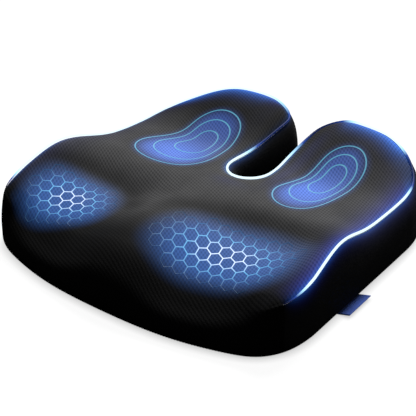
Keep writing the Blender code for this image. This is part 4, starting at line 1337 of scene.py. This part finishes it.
# %% Tree: stitches along a line
stitch_tree, come, go = geometry_tree("stitches_on_line", [
    ("Pitch", "Float"), ("Length", "Float"), ("Thickness", "Float"), ("Material", "Material"),
])
path = stitch_tree.add("MeshToCurve", Mesh=come.outputs["Geometry"])
even = stitch_tree.add("ResampleCurve", {"mode": "LENGTH"}, Curve=path, Length=come.outputs["Pitch"])
tangent = stitch_tree.add("InputTangent")
turned = stitch_tree.add("FunctionNodeAlignRotationToVector", {"axis": "X"}, Vector=tangent)
bead = stitch_tree.add("MeshUVSphere", Segments=6, Rings=4, Radius=0.5)
thick = come.outputs["Thickness"]
size = stitch_tree.add("ShaderNodeCombineXYZ", X=come.outputs["Length"], Y=thick, Z=thick)
beads = stitch_tree.add("InstanceOnPoints", Points=even, Instance=bead, Rotation=turned, Scale=size)
finish_tree(stitch_tree, come, go, beads)


def stitch_row(name, line, material, pitch=0.0032, length=0.0024, thickness=0.00055):
    """A row of stitches round a closed line."""
    guide = path_object(name + "_line", line, [(i, (i + 1) % len(line)) for i in range(len(line))])
    return run_tree(name, guide, stitch_tree.tree, material, Pitch=pitch, Length=length, Thickness=thickness)


# %% Rows of stitches
HEM, BASE_HEM = 0.0022, 0.0042
reach_x, reach_y = ZIP_HALF + HEM, WINDOW_HALF + HEM
corner_steps = [(-reach_x, -reach_y), (reach_x, -reach_y), (reach_x, reach_y), (-reach_x, reach_y)]
window_line = []
for k, (x0, y0) in enumerate(corner_steps):
    x1, y1 = corner_steps[(k + 1) % 4]
    for t in np.linspace(0.0, 1.0, max(2, int(math.hypot(x1 - x0, y1 - y0) / 0.004)), endpoint=False):
        window_line.append((x0 + t * (x1 - x0), y0 + t * (y1 - y0), 0.0001))
zip_stitches = stitch_row("zip_stitches", zip_place(window_line), thread_black)

base_lines = []
for zone in (FRONT, RIGHT, SLOT, LEFT):
    grid, _, left = wall(columns[zone], np.array([0.0, 0.004]), 60, sewn_top=False)
    row = int(np.argmin(np.abs(left[len(grid) // 2] - BASE_HEM)))
    base_lines.append(settle(grid[:, row]))
base_stitches = stitch_row("base_stitches", np.vstack(base_lines), thread_black, pitch=0.0036)

# %% [markdown]
# ## The woven tab
# A blue ribbon folded once, so that it is a loop with a round nose, and both ends are caught in the seam
# under the right wall. It can be bent up and down, so it rides on its own body. It is left plain.

# %% Tab
LABEL_L, LABEL_OUT, LABEL_T, LABEL_Y, LABEL_TILT = 0.050, 0.016, 0.0011, -0.029, math.radians(14)
RIBBON_T, ROOT_DEPTH, TAB_COLUMNS = 0.00042, 0.0024, 28


def ribbon_tab():
    half_t = 0.5 * LABEL_T - 0.5 * RIBBON_T
    nose = np.linspace(-0.5 * math.pi, 0.5 * math.pi, 11)
    under = [(x, -half_t) for x in np.linspace(-ROOT_DEPTH, LABEL_OUT - 0.5 * LABEL_T, 12, endpoint=False)]
    bend = [(LABEL_OUT - 0.5 * LABEL_T + half_t * math.cos(a), half_t * math.sin(a)) for a in nose]
    profile = np.array(under + bend + [(x, -z) for x, z in reversed(under)])
    run = np.r_[0.0, np.cumsum(np.linalg.norm(np.diff(profile, axis=0), axis=1))]
    rise = LABEL_T + 2 * GAP
    root = BASE_INSET * (1 - math.sqrt(1 - (1 - rise / BASE_ROLL) ** 2))
    along = np.array([-SIDE_TAPER, STRAIGHT_TO_Y - STRAIGHT_FROM_Y, 0.0])
    along /= np.linalg.norm(along)
    out = np.array([along[1], -along[0], 0.0])
    start = np.array([side_x(LABEL_Y), LABEL_Y, GAP + 0.5 * LABEL_T]) - root * out
    tilted = math.cos(LABEL_TILT) * out + math.sin(LABEL_TILT) * np.array([0.0, 0.0, 1.0])
    upwards = math.cos(LABEL_TILT) * np.array([0.0, 0.0, 1.0]) - math.sin(LABEL_TILT) * out
    points, uv = [], []
    for y in np.linspace(-0.5 * LABEL_L, 0.5 * LABEL_L, TAB_COLUMNS):
        for (x, z), s in zip(profile, run):
            points.append(start + y * along + x * tilted + z * upwards)
            uv.append((y, s))
    made = new_object("woven_tab", points, grid_faces(TAB_COLUMNS, len(profile)), label_cloth, uv)
    thicken(made, RIBBON_T, 0.0)
    return made


woven_tab = ribbon_tab()

# %% [markdown]
# ## The floor and the light
# A pale floor without an edge in view, and one very soft light from behind and above, as in a studio. The
# world is white to the camera and dim to the cushion, so that the black cloth stays black.

# %% Floor
floor_finish, g, shader = new_material("pale_floor")
seen = g.add("ShaderNodeLightPath", None, None)
# Painted shadow: ambient occlusion near the cushion dims the floor's light to the camera, as a contact
# shadow.
near_cushion = g.add("ShaderNodeAmbientOcclusion", {"samples": 8}, None, Distance=0.011)
painted_contact_shadow = g.add("ShaderNodeMapRange", Value=near_cushion.outputs["AO"], To_Min=0.55)
shine = g.math("MULTIPLY", painted_contact_shadow, g.math("MULTIPLY", seen.outputs["Is Camera Ray"], 0.95))
g.set(shader, "Base Color",
      g.mix(seen.outputs["Is Camera Ray"], rgba(0.05, 0.05, 0.05), rgba(0.14, 0.14, 0.14)))
g.set(shader, "Emission Color", g.mix(shine, rgba(0, 0, 0), rgba(1, 1, 1)))
set_sockets(shader, Emission_Strength=1.0, Roughness=0.9, Specular_IOR_Level=0.0)
floor = new_object("floor", [(-8, -8, 0), (8, -8, 0), (8, 8, 0), (-8, 8, 0)], [(0, 1, 2, 3)], floor_finish)

# %% Lights
world = bpy.data.worlds.new("studio")
bpy.context.scene.world = world
world.use_nodes = True
sky = Shader(world.node_tree)
backdrop = world.node_tree.nodes["Background"]
to_camera = sky.add("ShaderNodeLightPath", None, None)
sky.set(backdrop, "Color",
        sky.mix(to_camera.outputs["Is Camera Ray"], rgba(0.09, 0.09, 0.095), rgba(1, 1, 1)))
sky.set(backdrop, "Strength", 1.0)
sun = bpy.data.lights.new("soft_sun", "SUN")
sun.energy = 4.6
sun.angle = math.radians(30)
sun_object = link_object("soft_sun", sun)
sun_object.rotation_euler = Vector((0.26, -0.74, -0.80)).to_track_quat("-Z", "Y").to_euler()
bpy.context.scene.view_settings.view_transform = "Standard"

# %% [markdown]
# ## What each piece rides on and stands for
# Every piece is listed with the body it moves with, a finish name and the frame's solids that it replaces; it
# is attached to that body and the solids are hidden. The zip's slider, pull and stops keep their solids and
# get a better metal.

# %% Bodies, slots and finishes
RIDING = [
    (top_cover, "cushion", "mesh_fabric", ["top_panel"]),
    (side_wall_left, "cushion", "band_fabric", ["side_band_left"]),
    (side_wall_right, "cushion", "band_fabric", ["side_band_right"]),
    (slot_wall, "cushion", "band_fabric", ["slot_band"]),
    (bottom_cloth, "cushion", "base_fabric", ["bottom_panel"]),
    (grip_dots, "cushion", "base_fabric", []),
    (piping, "cushion", "piping_cord", ["edge_piping"]),
    *((printed, "cushion", "piping_cord", []) for printed in honeycombs + contours),
    (foam_block, "cushion", "foam", ["foam_core"]),
    (tapes[1], "cushion", "zip_tape", ["zipper_tape_upper"]),
    (tapes[-1], "cushion", "zip_tape", ["zipper_tape_lower"]),
    (coils[1], "cushion", "zip_coil", ["zipper_coil_upper"]),
    (coils[-1], "cushion", "zip_coil", ["zipper_coil_lower"]),
    (zip_stitches, "cushion", "band_fabric", []),
    (base_stitches, "cushion", "band_fabric", []),
    (woven_tab, "side_label", "label_weave", ["side_label"]),
]
RIDING += [(pad, "cushion", "gel", [node]) for node, pad in gels.items()]
for piece, body, finish, nodes in RIDING:
    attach(piece, body)
    if nodes:
        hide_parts(*nodes)
METAL_NODES = (
    "zipper_slider", "zipper_pull", "zipper_top_stop_upper", "zipper_top_stop_lower", "zipper_bottom_stop",
)
for node in METAL_NODES:
    for material_slot in bpy.data.objects[node].material_slots:
        material_slot.material = zip_metal
